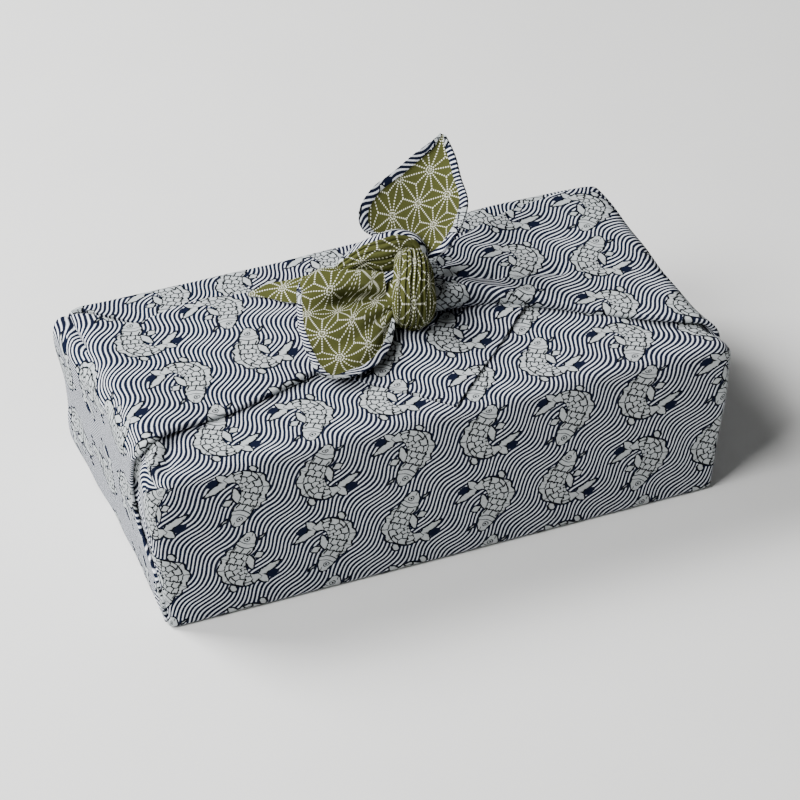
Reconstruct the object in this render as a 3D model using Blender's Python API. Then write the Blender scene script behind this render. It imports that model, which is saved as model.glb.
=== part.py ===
"""Furoshiki wrap: one square cloth folded round a long low parcel and knotted on top.

The cloth is one closed solid. Its skin goes under, up the four sides and over the top,
the back corner lies over that as a pointed flap, and the two end corners come up over the
ends as wings, gather into a square knot and leave two leaf-shaped tails.
Every layer is laid on a plain block of the parcel's size, whose edges are then rounded:
a point of the block and a lift off its skin give a point of the cloth.
"""
import math

import bmesh
import bpy
import numpy as np

MM = 0.001

# Driving dimensions, in metres
LENGTH = 0.300          # parcel along X
DEPTH = 0.162           # parcel along Y
HEIGHT = 0.0905         # floor to the first layer of cloth on the top
CLOTH = 0.0018          # thickness of a single layer
GAP = 0.0009            # air between a layer and the one it lies on
TAIL_CLOTH = 0.0022     # thickness of the two tails
SLIT_WIDTH = 0.004      # gap behind the front corner's layer, under the flap
SLIT_LENGTH = 0.220

# Rounding of the block's edges, in X, Y and Z: the left, front and floor sides, then the
# right, back and top sides. The upright edges are crisp low down and softer near the top.
ROUND_LOW = np.array([0.012, 0.007, 0.003])
ROUND_HIGH = np.array([0.008, 0.008, 0.009])
UPRIGHT_ROUND = 0.0035
SOFT_FROM = 0.050       # height where the upright edges start to soften
SOFT_TO = 0.080

# The pointed flap: its tip on the front edge and how far its root reaches down the back
TIP_X = 0.006
TIP_Y = -0.074
FLAP_ROOT = 0.034

# Soft swellings of the skin, in mm: centre, reach, and the shift at the centre
SWELLS = (
    # x, y, z, reach_x, reach_y, reach_z, shift_x, shift_y, shift_z
    (-150, 72, 58, 50, 46, 56, -5.0, 0.0, 0.0),     # left end, towards the back
    (-150, -74, 74, 24, 20, 26, -2.5, -1.0, 0.0),   # left front corner, upper half
    (150, -76, 88, 34, 26, 42, 6.0, 0.0, 0.0),      # right front corner, pulled out on top
    (150, -81, 0, 26, 40, 34, -2.0, 0.0, 0.0),      # right front corner, drawn in below
    (-20, -81, 40, 90, 20, 34, 0.0, -1.0, 0.0),     # belly of the front
    (60, 81, 45, 80, 20, 34, 0.0, 1.2, 0.0),        # belly of the back
    (-75, 75, 91, 70, 40, 20, 0.0, 0.0, -1.6),      # top, low along the back on the left
    (100, 62, 91, 60, 45, 20, 0.0, 0.0, 1.0),       # top, full along the back on the right
    (30, -50, 91, 70, 28, 18, 0.0, 0.0, -0.8),      # top, slack in front of the knot
)

# Creases and ridges of the skin, in mm: from, to, half width, height (a trough is below 0)
FOLDS = (
    # x, y, z, x, y, z, width, height
    (-150, -74, 2, -150, -66, 38, 5.0, -1.6),       # left end: valley beside the wing
    (-150, -66, 38, -150, -58, 91, 5.0, -2.4),
    (-146, -58, 91, -128, -52, 91, 7.0, -1.5),      # top left: mouth of the pocket
    (-150, -70, 60, -140, -62, 91, 4.0, 1.4),       # ridge standing in the pocket
    (150, -74, 2, 150, -60, 91, 5.0, -1.6),         # right end, the same valley
    (150, -62, 91, 120, -44, 91, 7.0, -1.2),
)

# The wings, in mm. Path: up the end from the floor, then over the top towards the knot.
# Front and back are the Y of the two edges; the lifts are of the upper side off the skin.
LEFT_WING = (
    # path, front, back, lift_front, lift_middle, lift_back
    (8, -76, 77, 0.5, 0.5, 0.5),
    (45, -67, 76, 1.8, 2.2, 1.8),
    (84, -59, 74, 3.2, 3.0, 2.2),
    (98, -51, 70, 4.6, 3.6, 2.0),
    (123, -43, 58, 5.4, 4.4, 4.6),
    (160, -34, 56, 6.0, 5.2, 5.4),
    (190, -25, 51, 7.0, 6.5, 6.0),
    (215, -17, 43, 10.0, 11.0, 9.0),
    (236, -8, 32, 17.0, 20.0, 16.0),
)
RIGHT_WING = (
    (8, -76, 77, 0.5, 0.5, 0.5),
    (45, -68, 77, 1.8, 2.2, 1.8),
    (84, -61, 76, 3.2, 3.0, 2.6),
    (98, -56, 74, 4.6, 3.8, 4.6),
    (115, -46, 72, 5.8, 4.6, 5.2),
    (140, -29, 68, 6.6, 5.4, 5.4),
    (165, -14, 61, 8.5, 6.4, 5.8),
    (190, -4, 50, 12.0, 9.5, 7.5),
    (208, -6, 36, 16.0, 16.0, 12.0),
    (226, -6, 28, 18.0, 21.0, 17.0),
)
WING_EDGE = 0.009       # width of the rolled fold along each wing's front edge

# The knot, in mm from the middle of the top. Each band is a flattened tube.
KNOT_CORE = (6, 6, 12, 20, 19, 15)                  # centre x, y, z and half sizes
FRONT_BAND = (
    # x, y, z, half_width, half_thickness
    (22, 26, 8, 9, 6),
    (21, 23, 22, 11, 7),
    (18, 11, 28, 12, 7),
    (15, -2, 26, 13, 7),
    (11, -13, 18, 13, 7),
    (8, -18, 9, 12, 6),
    (8, -13, 3, 10, 4),
)
TOP_BAND = (
    (-20, 30, 14, 6, 4),
    (-12, 29, 21, 7, 6),
    (-1, 25, 27, 8, 7),
    (9, 22, 31, 9, 8),
    (19, 20, 31, 9, 8),
    (25, 16, 25, 8, 7),
    (25, 9, 15, 6, 6),
)
FRONT_BAND_FACES = (-0.15, -1.0, 0.5)               # where a band's broad side looks
TOP_BAND_FACES = (-0.27, -0.75, 0.61)

# The tails, in mm from the middle of the top: middle line, width each side of it, and how
# far each edge stands towards (above 0) or away from where the olive inner face looks
UPPER_TAIL = (
    # x, y, z, left, right, left_curl, right_curl
    (19, 27, 24, 12, 10, 4, 5),
    (22, 30, 29, 22, 17, 6, 8),
    (25, 34, 36, 28, 20, 6, 7),
    (29, 38, 43, 26, 22, 5, 6),
    (34, 42, 50, 20, 22, 4, 5),
    (39, 46, 57, 14, 17, 3, 4),
    (45, 50, 65, 8, 10, 2, 2),
    (50, 54, 73, 1.5, 1.5, 0, 0),
)
LOWER_TAIL = (
    (6, 8, 22, 4, 20, 0, 6),
    (-7, -1, 20, 6, 31, -2, 9),
    (-16, -9, 18, 14, 34, -4, 8),
    (-23, -14, 17, 19, 32, -6, 4),
    (-30, -20, 15, 21, 28, -7, -1),
    (-36, -25, 13, 19, 24, -6, -3),
    (-41, -29, 11, 16, 19, -5, -4),
    (-45, -32, 10, 12, 14, -4, -4),
    (-49, -35, 9, 6, 7, -2, -2),
)
BACK_SLIVER = (
    (-66, 54, 6, 0.8, 0.8, 0, 0),
    (-55, 49, 9, 5, 5, -1, -1),
    (-42, 42, 13, 8, 9, -2, -2),
    (-28, 34, 17, 9, 11, -2, -2),
    (-14, 26, 19, 9, 11, -2, -2),
)
UPPER_TAIL_FACES = (-0.30, -0.72, 0.63)
LOWER_TAIL_FACES = (0.05, -0.39, 0.92)
BACK_SLIVER_FACES = (-0.10, -0.30, 1.0)

NODE = "furoshiki_cloth"


def clear_scene():
    for item in list(bpy.data.objects):
        bpy.data.objects.remove(item, do_unlink=True)


def spaced(low, high, count, edge_low, edge_high):
    """Positions from low to high, with two extra ones inside each rounded edge."""
    inner = np.linspace(low + edge_low, high - edge_high, count)
    near_low = low + edge_low * np.array([0.0, 0.34, 0.67])
    near_high = high - edge_high * np.array([0.67, 0.34, 0.0])
    return np.concatenate([near_low, inner, near_high])


def block_low():
    return np.array([-LENGTH / 2, -DEPTH / 2, 0.0])


def block_high():
    return np.array([LENGTH / 2, DEPTH / 2, HEIGHT])


def swell_shift(points):
    """Sum of the soft swellings at points of the block."""
    shift = np.zeros_like(points)
    for row in SWELLS:
        centre, reach, peak = (np.array(row[i:i + 3]) * MM for i in (0, 3, 6))
        fall = np.exp(-(((points - centre) / reach) ** 2).sum(axis=-1))
        shift += fall[..., None] * peak
    low = np.clip(points[..., 2:3] / 0.010, 0.0, 1.0)
    shift[..., 2:3] *= low
    return shift


def fold_lift(points):
    """Height of the creases and ridges at points of the block."""
    lift = np.zeros(points.shape[:-1])
    for row in FOLDS:
        start, end = np.array(row[0:3]) * MM, np.array(row[3:6]) * MM
        run = end - start
        along = np.clip(((points - start) @ run) / (run @ run), 0.0, 1.0)
        nearest = start + along[..., None] * run
        away = np.linalg.norm(points - nearest, axis=-1)
        lift += row[7] * MM * np.exp(-(away / (row[6] * MM)) ** 2)
    return lift


def edge_rounds(points):
    """Rounding below and above each point of the block, softer towards the top."""
    soft = np.clip((points[..., 2:3] - SOFT_FROM) / (SOFT_TO - SOFT_FROM), 0.0, 1.0)
    soft = soft * soft * (3 - 2 * soft)
    crisp_low = np.array([UPRIGHT_ROUND, UPRIGHT_ROUND, ROUND_LOW[2]])
    crisp_high = np.array([UPRIGHT_ROUND, UPRIGHT_ROUND, ROUND_HIGH[2]])
    return (crisp_low + (ROUND_LOW - crisp_low) * soft,
            crisp_high + (ROUND_HIGH - crisp_high) * soft)


def lay(points, lift):
    """Points of the block, rounded at its edges and lifted off the skin."""
    round_low, round_high = edge_rounds(points)
    core = np.clip(points, block_low() + round_low, block_high() - round_high)
    reach = points - core
    radius = np.where(reach < 0.0, round_low, round_high)
    turn = reach / radius
    turn = turn / np.maximum(np.linalg.norm(turn, axis=-1, keepdims=True), 1e-9)
    lift = np.broadcast_to(lift, points.shape[:-1])
    return core + turn * (radius + lift[..., None]) + swell_shift(points)


def new_mesh_object(name, points, faces):
    """An object whose closed mesh has its faces pointing out."""
    mesh = bpy.data.meshes.new(name)
    mesh.from_pydata([tuple(map(float, p)) for p in points], [], faces)
    shape = bmesh.new()
    shape.from_mesh(mesh)
    bmesh.ops.remove_doubles(shape, verts=shape.verts, dist=1e-7)
    bmesh.ops.dissolve_degenerate(shape, edges=shape.edges, dist=1e-7)
    bmesh.ops.triangulate(shape, faces=shape.faces)
    bmesh.ops.recalc_face_normals(shape, faces=shape.faces)
    if shape.calc_volume(signed=True) < 0.0:
        bmesh.ops.reverse_faces(shape, faces=shape.faces)
    shape.to_mesh(mesh)
    shape.free()
    item = bpy.data.objects.new(name, mesh)
    bpy.context.scene.collection.objects.link(item)
    return item


def skin_solid(name, counts, lift):
    """The whole rounded block, its six sides divided as counts says, lifted by lift."""
    low, high = block_low(), block_high()
    lines = [spaced(low[a], high[a], counts[a], ROUND_LOW[a], ROUND_HIGH[a])
             for a in range(3)]
    last = [len(line) - 1 for line in lines]
    index, points, faces = {}, [], []

    def corner(key):
        if key not in index:
            index[key] = len(points)
            points.append([lines[a][key[a]] for a in range(3)])
        return index[key]

    for axis in range(3):
        one, two = (axis + 1) % 3, (axis + 2) % 3
        for side in (0, last[axis]):
            for i in range(last[one]):
                for j in range(last[two]):
                    keys = []
                    for a, b in ((i, j), (i + 1, j), (i + 1, j + 1), (i, j + 1)):
                        key = [0, 0, 0]
                        key[axis], key[one], key[two] = side, a, b
                        keys.append(corner(tuple(key)))
                    faces.append(keys if side else keys[::-1])
    points = np.array(points)
    return new_mesh_object(name, lay(points, lift + fold_lift(points)), faces)


def slab(name, upper, lower):
    """A closed sheet between two grids of points."""
    rows, columns = upper.shape[:2]
    points = np.concatenate([upper.reshape(-1, 3), lower.reshape(-1, 3)])
    below = rows * columns
    faces = []
    for i in range(rows - 1):
        for j in range(columns - 1):
            a, b = i * columns + j, (i + 1) * columns + j
            faces.append([a, b, b + 1, a + 1])
            faces.append([below + a, below + a + 1, below + b + 1, below + b])
    rim = [(0, j) for j in range(columns)]
    rim += [(i, columns - 1) for i in range(1, rows)]
    rim += [(rows - 1, j) for j in range(columns - 2, -1, -1)]
    rim += [(i, 0) for i in range(rows - 2, 0, -1)]
    flat = [i * columns + j for i, j in rim]
    for a, b in zip(flat, flat[1:] + flat[:1]):
        faces.append([a, b, below + b, below + a])
    return new_mesh_object(name, points, faces)


def smooth_rows(table, count):
    """A table's rows, read at count even steps along a smooth curve through them."""
    rows = np.array(table, dtype=float)
    rows = np.vstack([2 * rows[0] - rows[1], rows, 2 * rows[-1] - rows[-2]])
    at = np.linspace(0, len(table) - 1, count)
    first = np.minimum(at.astype(int), len(table) - 2)
    t = (at - first)[:, None]
    a, b, c, d = (rows[first + k] for k in range(4))
    return 0.5 * (2 * b + (c - a) * t + (2 * a - 5 * b + 4 * c - d) * t ** 2
                  + (3 * b - a - 3 * c + d) * t ** 3)


def back_flap(rows=17, columns=13):
    """The back corner: up the back, over the edge and forward to its tip."""
    reach = DEPTH / 2 - TIP_Y
    path = np.concatenate([np.linspace(-FLAP_ROOT, -0.010, 4),
                           np.linspace(-0.0065, 0.0065, 4),
                           np.linspace(0.011, reach, rows - 8)])
    across = np.linspace(0.0, 1.0, columns)
    to_tip = np.maximum(reach - path, 0.002)
    side = LENGTH / 2 - 0.003
    left = np.maximum(TIP_X - to_tip, -side)
    right = np.minimum(TIP_X + to_tip, side)
    x = left[:, None] + (right - left)[:, None] * across[None, :]
    y = np.broadcast_to((DEPTH / 2 - np.maximum(path, 0.0))[:, None], x.shape)
    z = np.broadcast_to((HEIGHT + np.minimum(path, 0.0))[:, None], x.shape)
    points = np.stack([x, y, z], axis=-1)
    rise = np.clip((path + FLAP_ROOT) / (FLAP_ROOT - 0.008), 0.0, 1.0)[:, None]
    bottom = -0.0012 + rise * (GAP + 0.0012)
    top = 0.0003 + rise * (GAP + CLOTH - 0.0003)
    folds = fold_lift(points)
    return slab("back_flap", lay(points, folds + top), lay(points, folds + bottom))


def wing(name, table, mirror, rows=23, columns=13):
    """An end corner: up the end, over the edge and along the top into the knot."""
    path, front, back, at_front, at_middle, at_back = smooth_rows(table, rows).T * MM
    share = np.concatenate([np.linspace(0.0, 0.9, columns - 5),
                            [0.93, 0.955, 0.975, 0.99, 1.0]])
    y = back[:, None] + (front - back)[:, None] * share[None, :]
    up_end = path < HEIGHT
    x = np.where(up_end, -LENGTH / 2, -LENGTH / 2 + path - HEIGHT)
    z = np.where(up_end, path, HEIGHT)
    points = np.stack([np.broadcast_to(x[:, None], y.shape), y,
                       np.broadcast_to(z[:, None], y.shape)], axis=-1)
    points[..., 0] *= mirror
    s = share[None, :]
    lift = (at_back[:, None] * (1 - s) * (1 - 2 * s) + at_middle[:, None] * 4 * s * (1 - s)
            + at_front[:, None] * s * (2 * s - 1))
    width = np.maximum(np.abs(back - front)[:, None], 1e-6)
    to_edge = (1 - s) * width
    roll = np.sqrt(np.clip(1 - (1 - np.clip(to_edge / WING_EDGE, 0, 1)) ** 2, 0, 1))
    stout = np.clip(0.70 * at_front[:, None] + 0.0002, CLOTH, 0.010)
    thick = CLOTH + (stout - CLOTH) * np.exp(-(to_edge / WING_EDGE) ** 2)
    top = lift - thick * 0.5 * (1 - roll)
    bottom = lift - thick + thick * 0.5 * (1 - roll)
    bottom = np.minimum(bottom, top - 0.0004)
    if mirror < 0:
        points, top, bottom = points[:, ::-1], top[:, ::-1], bottom[:, ::-1]
    return slab(name, lay(points, top), lay(points, bottom))


def frames_along(middle, faces):
    """Unit directions across a sheet or band and out of its face, along its middle line."""
    run = np.gradient(middle, axis=0)
    run /= np.linalg.norm(run, axis=1, keepdims=True)
    across = np.cross(run, np.array(faces, dtype=float))
    across /= np.linalg.norm(across, axis=1, keepdims=True)
    return across, np.cross(across, run)


def on_top(points):
    """Points measured from the middle of the parcel's top, in the part's own frame."""
    return points + np.array([0.0, 0.0, HEIGHT])


def band(name, table, faces, rows=13, around=12):
    """A flattened tube along its table, closed at both ends."""
    values = smooth_rows(table, rows) * MM
    middle, half_width, half_thick = values[:, :3], values[:, 3], values[:, 4]
    across, facing = frames_along(middle, faces)
    turn = np.linspace(0, 2 * math.pi, around, endpoint=False)
    rings = (middle[:, None, :]
             + across[:, None, :] * (half_width[:, None] * np.cos(turn))[..., None]
             + facing[:, None, :] * (half_thick[:, None] * np.sin(turn))[..., None])
    points = on_top(rings.reshape(-1, 3))
    sides = []
    for i in range(rows - 1):
        for j in range(around):
            k = (j + 1) % around
            sides.append([i * around + j, i * around + k,
                          (i + 1) * around + k, (i + 1) * around + j])
    sides.append(list(range(around))[::-1])
    sides.append([(rows - 1) * around + j for j in range(around)])
    return new_mesh_object(name, points, sides)


def tail(name, table, faces, rows=14, columns=9):
    """A leaf-shaped end of the cloth: a thin sheet along its table, cupped across."""
    values = smooth_rows(table, rows) * MM
    middle, left, right = values[:, :3], values[:, 3], values[:, 4]
    left_curl, right_curl = values[:, 5], values[:, 6]
    across, facing = frames_along(middle, faces)
    share = np.linspace(-1.0, 1.0, columns)[None, :]
    reach = np.where(share < 0, left[:, None], right[:, None]) * share
    stand = np.where(share < 0, left_curl[:, None], right_curl[:, None]) * share ** 2
    sheet = (middle[:, None, :] + across[:, None, :] * reach[..., None]
             + facing[:, None, :] * stand[..., None])
    along_rows, along_columns = np.gradient(sheet, axis=0), np.gradient(sheet, axis=1)
    normal = np.cross(along_rows, along_columns)
    normal /= np.maximum(np.linalg.norm(normal, axis=-1, keepdims=True), 1e-12)
    half = normal * (TAIL_CLOTH / 2)
    return slab(name, on_top(sheet + half), on_top(sheet - half))


def knot_core():
    """The tight middle of the knot."""
    x, y, z, rx, ry, rz = (value * MM for value in KNOT_CORE)
    shape = bmesh.new()
    bmesh.ops.create_icosphere(shape, subdivisions=3, radius=1.0)
    points = [(v.co.x * rx + x, v.co.y * ry + y, v.co.z * rz + z + HEIGHT)
              for v in shape.verts]
    faces = [[v.index for v in face.verts] for face in shape.faces]
    shape.free()
    return new_mesh_object("knot_core", points, faces)


def slit_cutter():
    """The gap behind the front corner's layer, which opens the parcel under the flap."""
    y = DEPTH / 2 - ROUND_HIGH[1] - 0.004
    half = np.array([SLIT_LENGTH / 2, SLIT_WIDTH / 2, 0.0045])
    centre = np.array([0.0, y, HEIGHT - 0.004])
    shape = bmesh.new()
    bmesh.ops.create_cube(shape, size=2.0)
    points = [np.array(v.co) * half + centre for v in shape.verts]
    faces = [[v.index for v in face.verts] for face in shape.faces]
    shape.free()
    return new_mesh_object("slit_cutter", points, faces)


def combine(base, others, operation):
    """Boolean of base with each other object, kept as base's own mesh."""
    for other in others:
        cut = base.modifiers.new(operation.lower(), "BOOLEAN")
        cut.operation = operation
        cut.solver = "EXACT"
        cut.object = other
        bpy.context.view_layer.update()
        graph = bpy.context.evaluated_depsgraph_get()
        result = bpy.data.meshes.new_from_object(base.evaluated_get(graph))
        base.modifiers.remove(cut)
        old = base.data
        base.data = result
        bpy.data.meshes.remove(old)
        bpy.data.objects.remove(other, do_unlink=True)
    return base


def drop_sealed_pockets(item):
    """Keep the outer body; a pocket shut in between layers is cloth, not air."""
    shape = bmesh.new()
    shape.from_mesh(item.data)
    bmesh.ops.triangulate(shape, faces=shape.faces)
    bmesh.ops.remove_doubles(shape, verts=shape.verts, dist=2e-6)
    bmesh.ops.dissolve_degenerate(shape, edges=shape.edges, dist=2e-6)
    unseen, groups = set(shape.verts), []
    while unseen:
        stack, group = [unseen.pop()], []
        while stack:
            vertex = stack.pop()
            group.append(vertex)
            for edge in vertex.link_edges:
                other = edge.other_vert(vertex)
                if other in unseen:
                    unseen.remove(other)
                    stack.append(other)
        groups.append(group)
    groups.sort(key=len, reverse=True)
    for group in groups[1:]:
        bmesh.ops.delete(shape, geom=group, context="VERTS")
    print("bodies kept 1, dropped", len(groups) - 1, "triangles", len(shape.faces))
    shape.to_mesh(item.data)
    shape.free()


def stand_on_origin(item):
    """Put the origin on the floor, under the middle of the cloth's whole box."""
    points = np.empty(len(item.data.vertices) * 3)
    item.data.vertices.foreach_get("co", points)
    points = points.reshape(-1, 3)
    centre = (points.min(axis=0) + points.max(axis=0)) / 2
    centre[2] = points[:, 2].min()
    item.data.vertices.foreach_set("co", (points - centre).ravel())
    item.data.update()
    print("moved by", (-centre).round(5))


def cloth_material():
    material = bpy.data.materials.new("navy_and_white_jacquard")
    material.use_nodes = True
    shader = material.node_tree.nodes["Principled BSDF"]
    shader.inputs["Base Color"].default_value = (0.23, 0.27, 0.36, 1.0)
    shader.inputs["Roughness"].default_value = 0.88
    shader.inputs["Metallic"].default_value = 0.0
    return material


def build():
    clear_scene()
    cloth = skin_solid(NODE, (13, 8, 4), 0.0)
    hollow = skin_solid("hollow", (5, 4, 2), -CLOTH)
    combine(cloth, [hollow, slit_cutter()], "DIFFERENCE")
    layers = [
        back_flap(),
        wing("left_wing", LEFT_WING, 1.0),
        wing("right_wing", RIGHT_WING, -1.0),
        knot_core(),
        band("front_band", FRONT_BAND, FRONT_BAND_FACES),
        band("top_band", TOP_BAND, TOP_BAND_FACES),
        tail("upper_tail", UPPER_TAIL, UPPER_TAIL_FACES),
        tail("lower_tail", LOWER_TAIL, LOWER_TAIL_FACES),
        tail("back_sliver", BACK_SLIVER, BACK_SLIVER_FACES, rows=9, columns=5),
    ]
    combine(cloth, layers, "UNION")
    drop_sealed_pockets(cloth)
    stand_on_origin(cloth)
    cloth.data.materials.clear()
    cloth.data.materials.append(cloth_material())
    return cloth


build()
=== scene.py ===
# %% [markdown]
# # A furoshiki wrap
#
# A furoshiki is a square of cloth that is folded round a thing and tied. Here it holds a long
# low parcel. The front corner goes over the top, the back corner lies over it as a pointed
# flap, and the two end corners come up over the ends, narrow like wings and are tied in a
# square knot with two leaf-shaped tails.
#
# A cloth simulation could drape such a wrap, but it hardly ties a knot. So this lesson draws
# the cloth as thin sheets laid on a plain block, each from a short table, and then weaves its
# two faces with shader nodes: waves and carp outside, dotted hemp leaves inside.
#
# The packed model gives the frame. Its one solid shows where the cloth lies; the sheets
# below keep close to it and take its place.

# %% Open the frame
import math

import bmesh
import bpy
import numpy as np
from mathutils import Matrix, Vector


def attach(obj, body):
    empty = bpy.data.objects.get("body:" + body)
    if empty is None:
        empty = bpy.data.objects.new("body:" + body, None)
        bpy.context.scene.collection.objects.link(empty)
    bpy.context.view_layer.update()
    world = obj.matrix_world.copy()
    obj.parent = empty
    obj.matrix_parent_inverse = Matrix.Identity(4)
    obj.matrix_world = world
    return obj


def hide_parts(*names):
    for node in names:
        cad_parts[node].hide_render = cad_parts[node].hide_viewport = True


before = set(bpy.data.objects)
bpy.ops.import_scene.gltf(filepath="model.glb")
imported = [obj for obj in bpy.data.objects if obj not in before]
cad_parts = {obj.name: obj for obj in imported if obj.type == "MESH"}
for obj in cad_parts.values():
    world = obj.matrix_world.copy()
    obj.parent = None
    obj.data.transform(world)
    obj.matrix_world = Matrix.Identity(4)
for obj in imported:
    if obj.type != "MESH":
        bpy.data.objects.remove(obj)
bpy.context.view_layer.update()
MM = 0.001

# %% [markdown]
# ## The block under the cloth
#
# Real cloth follows what it wraps. Each layer could be modelled freely, but then they would
# soon cut through each other. So each sheet is first drawn on a plain block: a point of the
# block's skin, plus a lift off that skin. The function `lay` then rounds the block's edges,
# swells and sinks it a little and gives the real place. One rule bends every layer the same
# way.

# %% Sizes of the parcel and its cloth
LENGTH, DEPTH, HEIGHT = 0.300, 0.162, 0.0905
CUT = 0.700             # side of the square cloth
CORNER = math.sqrt(2) * CUT / 2         # from the middle of the flat cloth to its corner
CLOTH = 0.0011          # thickness of one layer as it is built here
ROUND_LOW = np.array([0.012, 0.007, 0.003])         # rounding at the low side of each axis
ROUND_HIGH = np.array([0.008, 0.008, 0.009])        # and at the high side
UPRIGHT_ROUND = 0.0035  # upright edges are crisp low down and softer near the top
SOFT_FROM, SOFT_TO = 0.050, 0.080
FLOOR_FADE = 0.010      # unevenness fades out over this height, so the underside is flat
ORIGIN_SHIFT = np.array([0.00048, -0.001, 0.0])     # block's middle to the frame's origin
BLOCK_LOW = np.array([-LENGTH / 2, -DEPTH / 2, 0.0])
BLOCK_HIGH = np.array([LENGTH / 2, DEPTH / 2, HEIGHT])
print("a corner of the flat cloth is this far from its middle, mm:", round(CORNER / MM, 1))

# %% Swellings and creases
SWELLS = (
    # soft swellings in mm: x, y, z, reach_x, reach_y, reach_z, shift_x, shift_y, shift_z
    (-150, 72, 58, 50, 46, 56, -5.0, 0.0, 0.0),
    (-150, -74, 74, 24, 20, 26, -2.5, -1.0, 0.0),
    (150, -76, 88, 34, 26, 42, 6.0, 0.0, 0.0),
    (150, -81, 0, 26, 40, 34, -2.0, 0.0, 0.0),
    (-150, -72, 56, 24, 18, 22, -2.0, 0.0, 0.0),
    (-20, -81, 40, 90, 20, 34, 0.0, -1.0, 0.0),
    (60, 81, 45, 80, 20, 34, 0.0, 1.2, 0.0),
    (-75, 75, 91, 70, 40, 20, 0.0, 0.0, -1.6),
    (105, 74, 91, 62, 46, 24, 0.0, 0.8, 3.8),
    (30, -50, 91, 70, 28, 18, 0.0, 0.0, -0.8),
)
FOLDS = (
    # creases of the skin in mm: from x, y, z, to x, y, z, half width, height (below 0 sunk)
    (-150, -78, 6, -150, -62, 26, 4.5, -1.6),
    (-150, -62, 26, -150, -36, 36, 4.5, -2.0),
    (-150, -36, 36, -150, -34, 56, 5.0, -2.0),
    (-150, -34, 56, -150, -50, 86, 5.0, -2.2),
    (-137, -44, 91, -146, -66, 91, 3.2, 2.6),
    (-146, -66, 91, -150, -74, 86, 2.6, 1.6),
    (-131, -48, 91, -138, -66, 91, 3.0, -1.4),
    (150, -74, 2, 150, -60, 91, 5.0, -1.6),
    (150, -62, 91, 120, -44, 91, 7.0, -1.2),
)
print("swellings and creases:", len(SWELLS), len(FOLDS))


# %% Lay a point of the block
def unit(vectors):
    return vectors / np.maximum(np.linalg.norm(vectors, axis=-1, keepdims=True), 1e-12)


def swell_shift(points):
    """Sum of the soft swellings at points of the block."""
    shift = np.zeros_like(points)
    for row in SWELLS:
        centre, reach, peak = (np.array(row[i:i + 3]) * MM for i in (0, 3, 6))
        fall = np.exp(-(((points - centre) / reach) ** 2).sum(axis=-1))
        shift += fall[..., None] * peak
    shift[..., 2:3] *= np.clip(points[..., 2:3] / FLOOR_FADE, 0.0, 1.0)
    return shift


def fold_lift(points, folds=FOLDS):
    """Height of the creases and ridges at points of the block."""
    lift = np.zeros(points.shape[:-1])
    for row in folds:
        start, end = np.array(row[0:3]) * MM, np.array(row[3:6]) * MM
        run = end - start
        along = np.clip(((points - start) @ run) / (run @ run), 0.0, 1.0)
        nearest = start + along[..., None] * run
        away = np.linalg.norm(points - nearest, axis=-1)
        lift += row[7] * MM * np.exp(-(away / (row[6] * MM)) ** 2)
    return lift


def edge_rounds(points):
    """Rounding below and above each point of the block, softer towards the top."""
    soft = np.clip((points[..., 2:3] - SOFT_FROM) / (SOFT_TO - SOFT_FROM), 0.0, 1.0)
    soft = soft * soft * (3 - 2 * soft)
    rounds = []
    for full in (ROUND_LOW, ROUND_HIGH):
        crisp = np.array([UPRIGHT_ROUND, UPRIGHT_ROUND, full[2]])
        rounds.append(crisp + (full - crisp) * soft)
    return rounds


def lay(points, lift):
    """Points of the block, rounded at its edges and lifted off the skin."""
    round_low, round_high = edge_rounds(points)
    core = np.clip(points, BLOCK_LOW + round_low, BLOCK_HIGH - round_high)
    reach = points - core
    radius = np.where(reach < 0.0, round_low, round_high)
    turn = unit(reach / radius)
    lift = np.broadcast_to(lift, points.shape[:-1])
    place = core + turn * (radius + lift[..., None]) + swell_shift(points)
    return place + ORIGIN_SHIFT


print("block corner goes to, mm:", (lay(BLOCK_HIGH, np.array(0.0)) / MM).round(1))

# %% [markdown]
# Cloth is never quite even. A noise texture could push its points about, but it looks like
# dents. A few long sine waves with seeded directions add a slackness of a few tenths of a
# millimetre instead, so that the light doesn't slide over the cloth as over a board.

# %% Small unevenness
SLACK = 0.00022
SLACK_WAVES = 0.022, 0.075      # the shortest and the longest wave


def slackness(places, seed=3, waves=9):
    """A gentle lift that changes from place to place, the same on every run."""
    dice = np.random.default_rng(seed)
    total = np.zeros(places.shape[:-1])
    for _ in range(waves):
        way = dice.normal(size=3)
        way /= np.linalg.norm(way)
        length = dice.uniform(*SLACK_WAVES)
        total += np.sin(places @ way * (2 * math.pi / length) + dice.uniform(0, 2 * math.pi))
    return total * SLACK / math.sqrt(waves / 2)


print("slackness at the block's corner, mm:", round(float(slackness(BLOCK_HIGH)) / MM, 2))

# %% [markdown]
# ## Sheets
#
# A layer of cloth is a thin sheet with two faces and an edge. A plane with Solidify would do,
# but here the two faces differ, and the print has to run on over every fold as on the real
# thing. So a sheet is a grid of places with a second grid beside it: where each point lies on
# the flat cloth, in metres. That second grid becomes the UV map `cloth`, and the print is
# drawn from it. At a hem the outer face is turned over onto the inner one.

# %% Meshes of the cloth
UV_NAME = "cloth"
OUTER, INNER = 0, 1     # material slots: waves and carp, hemp leaves


def mesh_piece(name, points, faces, uvs, slots):
    """A mesh object from its points and faces, with a UV pair for each face corner."""
    mesh = bpy.data.meshes.new(name)
    mesh.from_pydata([tuple(map(float, p)) for p in points], [], faces)
    layer = mesh.uv_layers.new(name=UV_NAME)
    layer.uv.foreach_set("vector", np.asarray(uvs, np.float32).ravel())
    mesh.polygons.foreach_set("material_index", np.asarray(slots, np.int32))
    mesh.shade_smooth()
    item = bpy.data.objects.new(name, mesh)
    bpy.context.scene.collection.objects.link(item)
    return item


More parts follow.
